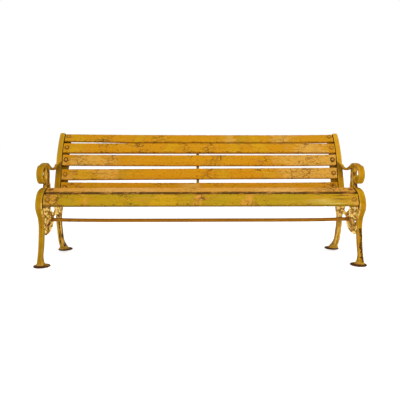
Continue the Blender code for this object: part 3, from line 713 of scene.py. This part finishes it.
def depthDirections(line):  # mitred, so that every offset face stays parallel to its slat
    normals = []
    for a, b in zip(line, line[1:]):
        run = (b - a).normalized()
        normals.append(Vector((0, run.z, -run.y)))
    found = [normals[0]]
    for a, b in zip(normals, normals[1:]):
        middle = (a + b).normalized()
        found.append(middle / middle.dot(a))
    return found + [normals[-1]]


def castRail(bm):  # web and slat ledge behind the flange
    inner = railShape["inner"]
    webOuter = inner + railShape["webThickness"]
    ledgeInner = inner - railShape["ledgeReach"]
    near = slatShape["thickness"] + railShape["clearance"]
    far = near + railShape["ledgeThickness"]
    top = railShape["webTop"]
    section = (
        (inner, top), (webOuter, top), (webOuter, far), (ledgeInner, far), (ledgeInner, near), (inner, near))
    line = railLine()
    loops = []
    for point, deep in zip(line, depthDirections(line)):
        ring = [bm.verts.new(point + deep * d + Vector((x, 0, 0))) for x, d in section]
        loops.append([bm.edges.new((a, b)) for a, b in zip(ring, ring[1:] + ring[:1])])
    bridgeRings(bm, loops)


def castFoot(bm, place):
    loops = []
    levels = footShape["levels"]
    for z, size in levels:
        lean = (1.0 - size) / (1.0 - levels[-1][1]) if z > footShape["soleTop"] else 0.0
        x = place["x"] - footShape["ankleInset"] * lean
        y = place["y"] + (place["ankle"] - place["y"]) * lean
        ring, edges = ringOf(bm, footShape["ringSides"])
        for v in ring:
            v.co = Vector((x + v.co.x * footShape["width"] / 2 * size,
                           y + v.co.y * place["length"] / 2 * size, z))
        loops.append(edges)
    bridgeRings(bm, loops)


def bodyShape():  # rails, legs and feet of the right end
    bm = bmesh.new()
    for label in ("seatAndFrontLeg", "backAndRearLeg"):
        castBar(bm, smoothRun(legShape[label], 3), squareness=0.28)
    proud, half = legShape["filletProud"], legShape["filletHalf"]
    lowerLeg = legShape["backAndRearLeg"][legShape["filletStart"]:]
    for share in legShape["fillets"]:
        line = []
        for y, z, thickness, inner, outer in smoothRun(lowerLeg, 3):
            middle = inner + (outer - inner) * share
            line.append((y, z, thickness + proud, middle - half, middle + half))
        castBar(bm, line, squareness=0.8)
    castFoot(bm, footShape["front"])
    castFoot(bm, footShape["rear"])
    bmesh.ops.translate(bm, verts=bm.verts, vec=(0, frontLine, 0))
    castRail(bm)  # already in the bench's own place
    return bm


def armLine():
    line = smoothRun(armShape["neck"], 3)
    for i in range(1, armShape["steps"] + 1):
        part = i / armShape["steps"]
        angle = math.radians(armShape["firstAngle"] + armShape["sweep"] * part)
        radius = armShape["firstRadius"]
        radius += (armShape["lastRadius"] - radius) * part ** armShape["tighten"]
        line.append((armShape["centre"][0] + radius * math.cos(angle),
                     armShape["centre"][1] + radius * math.sin(angle), armShape["thickness"],
                     armShape["inner"], armShape["outer"]))
    return line


def castPost(bm):  # leaf post: thin slab, upright ribs and budded edges
    line = smoothRun(postShape["line"], 4)
    inner, outer, inset = postShape["inner"], postShape["outer"], postShape["slabInset"]
    castBar(bm, [(y, z, w * postShape["slabShare"], inner + inset, outer - inset) for y, z, w in line])
    for share in postShape["ribs"]:
        rib = []
        for i, (y, z, w) in enumerate(line):
            wave = postShape["ribWave"] * math.sin(i * 0.9 + share * 9)
            aside = w * (share + wave) * postShape["ribSpread"]
            rib.append((y + aside, z, w * postShape["ribWidth"], inner, outer))
        castBar(bm, rib, squareness=0.75)
    halfSizes = (postShape["budHalf"], postShape["budSize"] * postShape["budLong"], postShape["budSize"])
    for i in range(postShape["edgeBuds"]):
        y, z, w = line[int((i + 0.5) / postShape["edgeBuds"] * (len(line) - 1))]
        for sign in (-1, 1):
            centre = Vector(((inner + outer) / 2, y + sign * w * postShape["budOut"], z))
            castBud(bm, centre, halfSizes, sign * math.radians(postShape["budTilt"]))


def castLeaves(bm, run, middle):  # to either side of a strand in turn
    every, size = fretShape["leafEvery"], fretShape["leafSize"]
    out = size * fretShape["leafOut"]
    for i in range(2, len(run) - 2, every):
        y, z, w = run[i]
        ahead = Vector((run[i + 1][0] - run[i - 1][0], run[i + 1][1] - run[i - 1][1])).normalized()
        sign = 1 if (i // every) % 2 else -1
        tilt = math.atan2(ahead.y, ahead.x) + sign * math.radians(fretShape["leafTurn"])
        tip = Vector((middle, y + math.cos(tilt) * out, z + math.sin(tilt) * out))
        castBud(bm, tip, (fretShape["leafHalf"], size, size * fretShape["leafWide"]), tilt)


def castFret(bm):  # strands with a raised spine, small leaves along them and a bud at each end
    inner, outer, inset = fretShape["inner"], fretShape["outer"], fretShape["inset"]
    middle, proud = (inner + outer) / 2, fretShape["ridgeProud"]
    for line in fretShape["strands"].values():
        run = smoothRun(line, 4)
        castBar(bm, [(y, z, w, inner + inset, outer - inset) for y, z, w in run], squareness=0.40)
        spine = [(y, z, min(fretShape["ridge"], w * fretShape["ridgeShare"])) for y, z, w in run]
        castBar(bm, [(y, z, w, inner - proud, outer + proud) for y, z, w in spine], squareness=0.9)
        for y, z, w in (run[0], run[-1]):
            girth = w * fretShape["endShare"]
            castBud(bm, Vector((middle, y, z)), (fretShape["endHalf"], girth, girth))
        castLeaves(bm, run, middle)
    bossInner, bossOuter, radius = fretShape["bossInner"], fretShape["bossOuter"], fretShape["bossRadius"]
    bossPlace = Matrix.Translation(((bossInner + bossOuter) / 2, *fretShape["boss"]))
    bmesh.ops.create_cone(
        bm, cap_ends=True, segments=32, radius1=radius, radius2=radius, depth=bossOuter - bossInner,
        matrix=bossPlace @ Matrix.Rotation(math.radians(90), 4, "Y"))


def ornamentShape():  # arm, leaf post and fretwork of the right end
    bm = bmesh.new()
    arm = armLine()
    castBar(bm, arm, squareness=0.28)
    castBud(bm, Vector(((armShape["inner"] + armShape["outer"]) / 2, *arm[-1][:2])), armShape["bud"])
    castPost(bm)
    castFret(bm)
    bmesh.ops.translate(bm, verts=bm.verts, vec=(0, frontLine, 0))
    return bm


def castMesh(name, bm, voxel):  # one skin with cast fillets
    bmesh.ops.recalc_face_normals(bm, faces=bm.faces)
    lump = inScene(name, meshOf(name, bm))
    skin = lump.modifiers.new("skin", "REMESH")
    skin.mode = "VOXEL"
    skin.voxel_size = voxel
    whole = bpy.data.meshes.new_from_object(lump.evaluated_get(bpy.context.evaluated_depsgraph_get()))
    bpy.data.objects.remove(lump)
    bm = bmesh.new()
    bm.from_mesh(whole)
    for _ in range(castShape["softening"]):
        bmesh.ops.smooth_vert(bm, verts=bm.verts, factor=0.5, use_axis_x=True, use_axis_y=True,
                              use_axis_z=True)
    bm.to_mesh(whole)
    bm.free()
    return whole


def meshValues(items, label, width, kind=float):
    values = np.empty(len(items) * width, dtype=kind)
    items.foreach_get(label, values)
    return values.reshape(-1, width)


def reliefOf(mesh):  # 0.5 on even surfaces, more on ridges, less in recesses
    points, normals = (meshValues(mesh.vertices, label, 3) for label in ("co", "normal"))
    a, b = meshValues(mesh.edges, "vertices", 2, int).T
    count = len(points)
    share = np.bincount(a, minlength=count) + np.bincount(b, minlength=count)
    soft = points.copy()
    for _ in range(castShape["reliefRounds"]):
        around = np.empty_like(soft)
        for k in range(3):
            around[:, k] = np.bincount(a, soft[b, k], count) + np.bincount(b, soft[a, k], count)
        soft = 0.4 * soft + 0.6 * around / share[:, None]
    proud = ((points - soft) * normals).sum(axis=1)
    return points, normals, np.clip(0.5 + proud / (2 * castShape["reliefSpan"]), 0.0, 1.0)


wearPlaces = {
    "strip": (  # bare patches down the right front leg: (z, share of its width, half width)
        (0.028, 0.78, 0.30), (0.067, 0.66, 0.30), (0.110, 0.64, 0.27), (0.152, 0.52, 0.33),
        (0.190, 0.74, 0.15), (0.218, 0.50, 0.36), (0.245, 0.52, 0.18)),
    "frontReach": 0.09, "kneeHighlightAndWear": (0.30, 0.40), "kneeAmount": 0.7, "kneeEdgeShare": 0.13, "fade": 0.008,
    "footHighlight": (0.012, 0.045, 0.16), "footLift": 0.3,
    "ledgeInner": 0.9213, "ledgeLow": (0.600, 0.55), "ledgeBack": 0.35, "ledgeFacing": 0.2,
    "rearLegTop": 0.42, "rearLegLiftRise": (0.27, 0.34), "rearLegLines": ((0.16, 0.09), (0.80, 0.08)),
    "rearLegBare": (1.0, 0.42), "rearLegStreak": (0.70, 0.55), "rearLegHighlight": (0.26, 0.44),  # left and right
    "rearLegLift": (0.55, 0.60), "rearLegCrest": (-0.90, -0.10), "railLift": (0.22, 0.36),
    "railShade": {"low": 0.515, "fade": 0.075, "top": 0.640, "lean": 0.035, "amount": 0.75},
    "armFrom": 0.44, "armLift": 0.04, "armDull": 0.45, "leftPaintedShade": 0.48,
    "postReach": (0.084, 0.178), "postTop": 0.600, "postLift": 0.30, "postShade": 0.95,
    "postHighlight": (0.55, 0.25), "postEdge": 0.3,
    "brightStrands": ("lobe", "front", "inner", "cross", "centre", "rearBracket", "rearArm", "heel"),
    "crestReach": 0.004, "crestFade": 0.003,
    "plainFrom": 0.65, "plainFade": 0.50, "plainShare": {"lightLift": 0.35, "highlightAndWear": 0.0, "bare": 0.4},
}


def crestOf(points):  # 1 on the main strands of the fretwork, which take painted highlights, 0 on the leaves between them, which take painted shade
    crest = np.zeros(len(points))
    for label in wearPlaces["brightStrands"]:
        for y, z, w in smoothRun(fretShape["strands"][label], 6):
            away = np.hypot(points[:, 1] - frontLine - y, points[:, 2] - z)
            near = (w / 2 + wearPlaces["crestReach"] - away) / wearPlaces["crestFade"]
            crest = np.maximum(crest, np.clip(near, 0.0, 1.0))
    return crest


def shareAcross(points, stations):  # how far across the width of a leg each point lies
    leg = sorted((z, inner, outer) for y, z, thickness, inner, outer in stations)
    heights, inner, outer = zip(*leg)
    low, high = (np.interp(points[:, 2], heights, edge) for edge in (inner, outer))
    return (np.abs(points[:, 0]) - low) / (high - low)


def ornamentWear(points, right, wear):  # plain arm, and a post with streaks of painted shade and highlight and less painted light than the fretwork
    depth, height = points[:, 1] - frontLine, points[:, 2]
    near, far = wearPlaces["postReach"]
    high = height > wearPlaces["armFrom"]
    inPost = high & (depth > near) & (depth < far) & (height < wearPlaces["postTop"])
    wear["lightLift"][high] = wearPlaces["armLift"]
    wear["lightLift"][inPost] = wearPlaces["postLift"]
    for i in np.flatnonzero(inPost):
        x, y, z = points[i]
        streak = 3 * ripple(x * 30, y * 75, z * 11)
        # dark streaks of painted shade for the post's grooves, painted highlights between them
        wear["bare"][i] = wearPlaces["postShade"] * limited(streak + wearPlaces["postEdge"])
        wear["highlightAndWear"][i] = wearPlaces["postHighlight"][right] * limited(-streak - wearPlaces["postEdge"])
    for i in np.flatnonzero(high & ~inPost):
        x, y, z = points[i]
        wear["darkening"][i] += wearPlaces["armDull"] * limited(2.5 * ripple(x * 45, y * 25, z * 45))


def rearWear(i, point, share, right, wear):  # streaked rear leg, and a painted shadow on the rail by the slats, below the arm
    x, y, z = point
    shade = wearPlaces["railShade"]
    shadeTop = shade["top"] - shade["lean"] * share
    if z < wearPlaces["footHighlight"][1]:
        wear["lightLift"][i] = wearPlaces["footLift"]
    elif z < wearPlaces["rearLegTop"]:
        richLow, richHigh = wearPlaces["rearLegLiftRise"]
        upper = limited((z - richLow) / (richHigh - richLow))
        streak = 3 * ripple(x * 110, y * 20, z * 9)
        line = max(math.exp(-((share - place) / reach) ** 2) for place, reach in wearPlaces["rearLegLines"])
        lowest, bareFrom = wearPlaces["rearLegLift"][right], wearPlaces["rearLegStreak"][right]
        wear["lightLift"][i] = lowest + (1 - lowest) * upper
        wear["crest"][i] = max(limited(wearPlaces["rearLegCrest"][right] - streak + line), upper)
        wear["bare"][i] = wearPlaces["rearLegBare"][right] * limited(streak + bareFrom - line) * (1 - upper)
        # painted highlights along the raised lines
        wear["highlightAndWear"][i] = wearPlaces["rearLegHighlight"][right] * limited(line * (0.7 - streak))
    elif z > shadeTop:
        wear["lightLift"][i] = wearPlaces["railLift"][right]
    else:
        shaded = limited((shadeTop - z) / wearPlaces["fade"]) * limited((z - shade["low"]) / shade["fade"])
        wear["paintedShade"][i] = shaded * shade["amount"]


def frontWear(i, point, share, right, wear):  # painted highlight and worn paint along the knee's edge, and a bare strip down the right leg
    x, y, z = point
    heights, shares, halves = zip(*wearPlaces["strip"])
    if z > wearPlaces["kneeHighlightAndWear"][0]:
        ragged = 0.5 + 1.5 * ripple(x * 40, y * 40, z * 60)
        edge = limited((wearPlaces["kneeEdgeShare"] - share) * 20)
        wear["highlightAndWear"][i] = wearPlaces["kneeAmount"] * edge * limited(ragged)
    elif right and z < heights[-1]:
        off = abs(share - np.interp(z, heights, shares)) / np.interp(z, heights, halves)
        ragged = 0.8 * ripple(x * 60, y * 30, z * 40) + 1.1 * ripple(x * 130, y * 60, z * 110)
        fade = limited((heights[-1] - z) / wearPlaces["fade"])
        wear["bare"][i] = limited(3.0 * (1.15 - off + ragged)) * fade


def bodyWear(points, right, wear):  # painted highlights on the feet, painted shade on the slat ledge, and both legs
    rearShares = shareAcross(points, legShape["backAndRearLeg"])
    frontShares = shareAcross(points, legShape["seatAndFrontLeg"][legShape["frontLegStart"]:])
    footLow, footHigh, footHighlight = wearPlaces["footHighlight"]
    ledgeLow, lowLedgeShade = wearPlaces["ledgeLow"]
    stripLow, kneeHigh = wearPlaces["strip"][0][0], wearPlaces["kneeHighlightAndWear"][1]
    for i, (x, y, z) in enumerate(points):
        if footLow < z < footHigh:
            # painted highlights on the feet
            wear["highlightAndWear"][i] = footHighlight * limited(4 * ripple(x * 45, y * 25, z * 50))
        if abs(x) < wearPlaces["ledgeInner"]:
            wear["paintedShade"][i] = lowLedgeShade if y > 0.0 and z < ledgeLow else 1.0
        elif y > 0.0:
            rearWear(i, points[i], rearShares[i], right, wear)
        elif y < frontLine + wearPlaces["frontReach"] and stripLow < z < kneeHigh:
            frontWear(i, points[i], frontShares[i], right, wear)


def storeWear(mesh, side, lightLift):
    points, normals, relief = reliefOf(mesh)
    wear = {"relief": relief}
    for label in ("bare", "paintedShade", "lightLift", "highlightAndWear", "crest", "darkening"):
        wear[label] = np.zeros(len(points))
    wear["lightLift"] += lightLift
    # painted shade: the whole left end a little darker
    wear["darkening"] += wearPlaces["leftPaintedShade"] if side < 0 else 0.0
    if lightLift:
        wear["crest"] = crestOf(points)
        ornamentWear(points, side > 0, wear)
    else:
        wear["crest"] += 1.0
        bodyWear(points, side > 0, wear)
        # painted shade on the ledge behind the slats, lighter on its faces turned to the back
        onLedge = np.abs(points[:, 0]) < wearPlaces["ledgeInner"]
        wear["paintedShade"][onLedge & (normals[:, 1] > wearPlaces["ledgeFacing"])] = wearPlaces["ledgeBack"]
    outward = normals[:, 0] * side + normals[:, 1]  # faces turned to the seat or the front keep their painted light; outer and rear faces keep plainer paint
    worn = np.clip((wearPlaces["plainFrom"] - outward) / wearPlaces["plainFade"], 0.0, 1.0)
    for label, least in wearPlaces["plainShare"].items():
        wear[label] *= least + (1 - least) * worn
    for label, values in wear.items():
        layer = mesh.attributes.new(label, "FLOAT", "POINT")
        layer.data.foreach_set("value", values.astype(np.float32))


def makeEnds():
    body = castMesh("casting_body", bodyShape(), castShape["bodyVoxel"])
    ornament = castMesh("casting_ornament", ornamentShape(), castShape["ornamentVoxel"])
    right = {"casting_body": (body, 0.0), "casting_ornament": (ornament, 1.0)}
    for end, side in sides.items():
        for label, (mesh, lightLift) in right.items():
            made = mesh.copy()
            if side < 0:
                bm = bmesh.new()
                bm.from_mesh(made)
                bmesh.ops.scale(bm, verts=bm.verts, vec=(-1, 1, 1))
                bmesh.ops.recalc_face_normals(bm, faces=bm.faces)
                bm.to_mesh(made)
                bm.free()
            storeWear(made, side, lightLift)
            placeMesh(f"{label}_{end}", made, ironPaint, "frame_iron", f"end_frame_{end}", smoothAngle=180)
            print(label, end, "faces:", len(made.polygons))


makeEnds()


# bolts, rod, strap and nuts

boltShape = {
    "steps": 28, "shank": 0.004, "head": 0.0102, "headHeight": 0.006, "headRim": 0.0008, "domeSteps": 7,
    "flushHead": 0.0085, "flushDepth": 0.005, "flushDish": (0.6, 1.5), "tip": 0.0439, "tipEase": 0.001,
    "tipShare": 0.7, "clearance": 0.0003, "rimRustAndShade": (0.0062, 0.0092), "topHeadShare": 0.78, "darkening": 0.45,
}


def spunPiece(bm, profile, steps):  # turn (radius, height) points about z into a closed skin
    verts = [bm.verts.new((radius, 0.0, height)) for radius, height in profile]
    edges = [bm.edges.new(pair) for pair in zip(verts, verts[1:])]
    bmesh.ops.spin(bm, geom=verts + edges, cent=(0, 0, 0), axis=(0, 0, 1), angle=math.tau, steps=steps,
                   use_merge=True)
    bmesh.ops.remove_doubles(bm, verts=bm.verts, dist=0.00005)


def domeProfile(radius, base, height, angles):  # from the crown, at 90 degrees, down to the rim
    profile = []
    for degrees in angles:
        angle = math.radians(degrees)
        profile.append((radius * math.cos(angle) if degrees < 90 else 0.0, base + height * math.sin(angle)))
    return profile


def boltProfile(name):
    gap, shank, tip = boltShape["clearance"], boltShape["shank"], boltShape["tip"]
    if name in seatNames[1:]:
        flush, (dishShare, dishDepth) = boltShape["flushHead"], boltShape["flushDish"]
        head = [(0.0, -gap), (flush * dishShare, -gap * dishDepth), (flush, -gap),
                (shank, -gap - boltShape["flushDepth"])]
    else:
        wide = boltShape["head"] * (boltShape["topHeadShare"] if name == topSlat else 1.0)
        rim, domeSteps = boltShape["headRim"], boltShape["domeSteps"]
        angles = [90 * k / domeSteps for k in range(domeSteps, -1, -1)]
        head = domeProfile(wide, gap + rim, boltShape["headHeight"] - rim, angles)
        head += [(wide, gap), (shank, gap)]
    return head + [(shank, -tip + boltShape["tipEase"]), (shank * boltShape["tipShare"], -tip), (0.0, -tip)]


def makeBolt(name, end, side):
    bm = bmesh.new()
    spunPiece(bm, boltProfile(name), boltShape["steps"])
    rim = bm.verts.layers.float.new("rim")
    low, high = boltShape["rimRustAndShade"]
    for v in bm.verts:
        # outer part of each dome darker: rust and painted shade
        v[rim] = limited((math.hypot(v.co.x, v.co.y) - low) / (high - low)) * rustAndShadeAt(name, side > 0)
        if name == nosing:
            v[rim] = max(v[rim], boltShape["darkening"])
    middle, along, across, out = slatFrames[name]
    bmesh.ops.transform(bm, matrix=frameMatrix(boltPlace(name, side), along, across, out), verts=bm.verts)
    node = f"bolt_{end}_{name}"
    finishPiece("coach_" + node, bm, boltPaint, "bolt_steel", node)


for name in slatNames:
    for end, side in sides.items():
        makeBolt(name, end, side)

rodShape = {
    "steps": 32, "radius": 0.0112, "collar": 0.0140, "collarLength": 0.010, "collarRound": 0.0016,
    "weld": ((0.0, 0.004), (0.001, 0.0005)),  # rise and distance before the collar
    "spigot": 0.006, "seat": 0.9332, "tip": 0.9746, "tipRound": 0.0012, "sag": 0.0060, "sway": 0.0012,
    "place": (0.195, 0.276), "segments": 160, "soot": (-0.81, 0.06), "sootBelow": -0.002,
    "endRust": (0.895, 0.915), "endRustAmount": 0.8,
}


def rodProfile(neck):
    radius, collar, spigot = rodShape["radius"], rodShape["collar"], rodShape["spigot"]
    seat, tip, tipRound = rodShape["seat"], rodShape["tip"], rodShape["tipRound"]
    ease, segments = rodShape["collarRound"], rodShape["segments"]
    half = [(radius + rise, neck - before) for rise, before in rodShape["weld"]]
    half += [(collar - ease, neck), (collar, neck + ease), (collar, seat - ease), (collar - ease, seat),
             (spigot, seat), (spigot, tip - tipRound), (spigot - tipRound, tip), (0.0, tip)]
    span = [(radius, neck * (2 * k / segments - 1)) for k in range(1, segments)]
    return [(r, -h) for r, h in reversed(half)] + span + half


def makeRod():
    neck = rodShape["seat"] - rodShape["collarLength"]
    bm = bmesh.new()
    spunPiece(bm, rodProfile(neck), rodShape["steps"])
    bmesh.ops.rotate(bm, verts=bm.verts, cent=(0, 0, 0), matrix=Matrix.Rotation(math.radians(90), 3, "Y"))
    soot = bm.verts.layers.float.new("soot")
    rim = bm.verts.layers.float.new("rim")
    sootMiddle, sootReach = rodShape["soot"]
    rustFrom, rustFull = rodShape["endRust"]
    for v in bm.verts:
        x = v.co.x
        v[rim] = rodShape["endRustAmount"] * limited((abs(x) - rustFrom) / (rustFull - rustFrom))
        reach = min(abs(x) / neck, 1.0)
        near = math.exp(-((x - sootMiddle) / sootReach) ** 2)
        v[soot] = limited(5 * ripple(x * 48, 0, 3.3)) * near * (v.co.z < rodShape["sootBelow"])
        v.co.z -= rodShape["sag"] * (1 - reach ** 6)
        v.co.y += rodShape["sway"] * ripple(x * 3.0, 0, 0) * (1 - reach)
    bmesh.ops.translate(bm, verts=bm.verts, vec=(0, rodShape["place"][0] + frontLine, rodShape["place"][1]))
    finishPiece("turned_tie_rod", bm, rodPaint, "rod_steel", "tie_rod")


makeRod()

for name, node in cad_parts.items():
    if name.startswith(("nut_", "rod_nut_", "rod_washer_")):
        node.material_slots[0].material = nutPaint
    elif name == "centre_strap":
        node.material_slots[0].material = strapPaint

strapScrew = {
    "x": -0.016, "radius": 0.0052, "height": 0.0026, "depth": 0.0293, "shadePatches": 0.001, "steps": 16,
    "angles": (90, 65, 40, 15, 0),
}


def makeStrapScrews():  # round screw heads hold the strap to the back of every slat
    radius, shadePatches = strapScrew["radius"], strapScrew["shadePatches"]
    profile = domeProfile(radius, 0.0, strapScrew["height"], strapScrew["angles"])
    profile += [(radius, -shadePatches), (0.0, -shadePatches)]
    bm = bmesh.new()
    for name in slatNames:
        middle, along, across, out = slatFrames[name]
        part = bmesh.new()
        spunPiece(part, profile, strapScrew["steps"])
        place = middle + out * (slatShape["thickness"] / 2 - strapScrew["depth"])
        place += along * (strapScrew["x"] - place.x)
        bmesh.ops.transform(part, matrix=frameMatrix(place, along, -across, -out), verts=part.verts)
        holder = meshOf("strapScrew", part)
        bm.from_mesh(holder)
        bpy.data.meshes.remove(holder)
    finishPiece("strap_screws", bm, nutPaint, "strap_steel")


makeStrapScrews()
print("bolts, rod and strap made")


# camera, light and floor

cameraView = {
    "place": (-0.0787, -3.1389, 0.6567), "yaw": -1.382, "pitch": 4.971, "roll": 0.034, "lens": 43.2,
    "sensor": 36,
}
studio = {
    "ambient": (0.95, 0.97, 1.0), "ambientLevel": 0.68, "target": (0, 0, 0.45),
    "lamps": {  # place, size, power and colour
        "keyLamp": ((1.2, -2.7, 3.3), 2.4, 54, (1.0, 0.98, 0.95)),
        "fillLamp": ((-3.0, -2.4, 1.6), 2.0, 12, (1, 1, 1)),
        "lowLamp": ((0.3, -3.6, 0.55), 1.6, 42, (1.0, 0.94, 0.84))},
    "fretPlace": (0.0, 0.02, 0.31), "fretTarget": (0.94, -0.12, 0.32), "fretCone": 36, "fretBlend": 0.8,
    "fretSize": 0.05, "fretPower": 10.5, "fretColour": (1.0, 0.93, 0.82),
    "floorSize": 30.0, "floorTone": 0.90, "floorLift": 1.01, "floorRough": 0.9, "floorGlow": 0.56,
}


def placeCamera():
    lens = bpy.data.cameras.new("photoCamera")
    lens.lens = cameraView["lens"]
    lens.sensor_width = cameraView["sensor"]
    camera = inScene("photoCamera", lens)
    turn = Matrix.Rotation(math.radians(cameraView["yaw"]), 4, "Z")
    turn = turn @ Matrix.Rotation(math.radians(90 - cameraView["pitch"]), 4, "X")
    turn = turn @ Matrix.Rotation(math.radians(cameraView["roll"]), 4, "Z")
    camera.matrix_world = Matrix.Translation(cameraView["place"]) @ turn
    bpy.context.scene.camera = camera


def placeLamp(name, kind, place, target, **settings):
    lamp = bpy.data.lights.new(name, kind)
    for label, value in settings.items():
        setattr(lamp, label, value)
    holder = inScene(name, lamp)
    aim = (Vector(target) - Vector(place)).to_track_quat("-Z", "Y")
    holder.matrix_world = Matrix.Translation(place) @ aim.to_matrix().to_4x4()
    return holder


def placeLamps():
    for name, (place, size, power, colour) in studio["lamps"].items():
        placeLamp(name, "AREA", place, studio["target"], shape="DISK", size=size, energy=power, color=colour)
    x, y, z = studio["fretTarget"]
    for end, side in sides.items():  # narrow light from under the seat onto the inner face of each end
        holder = placeLamp(
            "fretLamp_" + end, "SPOT", studio["fretPlace"], (side * x, y, z),
            spot_size=math.radians(studio["fretCone"]), spot_blend=studio["fretBlend"],
            shadow_soft_size=studio["fretSize"], energy=studio["fretPower"], color=studio["fretColour"])
        holder.visible_camera = False


def seenDirectly(tree):  # 1 for rays that show the background itself
    path = make(tree, "ShaderNodeLightPath").outputs
    return higher(higher(path["Is Camera Ray"], path["Is Glossy Ray"]), path["Is Transmission Ray"])


def makeWorld():
    world = bpy.data.worlds.new("studioWorld")
    world.use_nodes = True
    tree = world.node_tree
    tree.nodes.clear()
    sky = make(tree, "ShaderNodeBackground", {
        "Color": (*studio["ambient"], 1.0), "Strength": studio["ambientLevel"]})
    white = make(tree, "ShaderNodeBackground", {"Color": (1, 1, 1, 1), "Strength": 1.0})
    both = make(tree, "ShaderNodeMixShader", {0: seenDirectly(tree), 1: sky.outputs[0], 2: white.outputs[0]})
    make(tree, "ShaderNodeOutputWorld", {"Surface": both.outputs[0]})
    bpy.context.scene.world = world


def makeFloor():
    bm = bmesh.new()
    bmesh.ops.create_grid(bm, x_segments=8, y_segments=8, size=studio["floorSize"])
    mesh = meshOf("paleFloor", bm)
    material, place = startPaint("paleFloor")
    tree = material.node_tree
    shader = tree.nodes["Principled BSDF"]
    tones = {"coat": (studio["floorTone"],) * 3, "lighter": (studio["floorTone"] * studio["floorLift"],) * 3}
    tone = layAll(tree, tones, [("lighter", cloud(place, (1, 1, 1), 3.0, 2))])
    glow = make(tree, "ShaderNodeEmission", {"Color": (1, 1, 1, 1), "Strength": studio["floorGlow"]})
    dark = make(tree, "ShaderNodeEmission", {"Color": (0, 0, 0, 1), "Strength": 0.0})
    seen = make(tree, "ShaderNodeMixShader", {0: seenDirectly(tree), 1: dark.outputs[0], 2: glow.outputs[0]})
    tree.links.new(tone, shader.inputs["Base Color"])
    shader.inputs["Roughness"].default_value = studio["floorRough"]
    shader.inputs["Specular IOR Level"].default_value = 0.0
    both = make(tree, "ShaderNodeAddShader", {0: shader.outputs[0], 1: seen.outputs[0]})
    tree.links.new(both.outputs[0], tree.nodes["Material Output"].inputs["Surface"])
    mesh.materials.append(material)
    floor = inScene("paleFloor", mesh)


placeCamera()
placeLamps()
makeWorld()
makeFloor()
bpy.context.scene.view_settings.view_transform = "Standard"
print("camera, light and floor made")
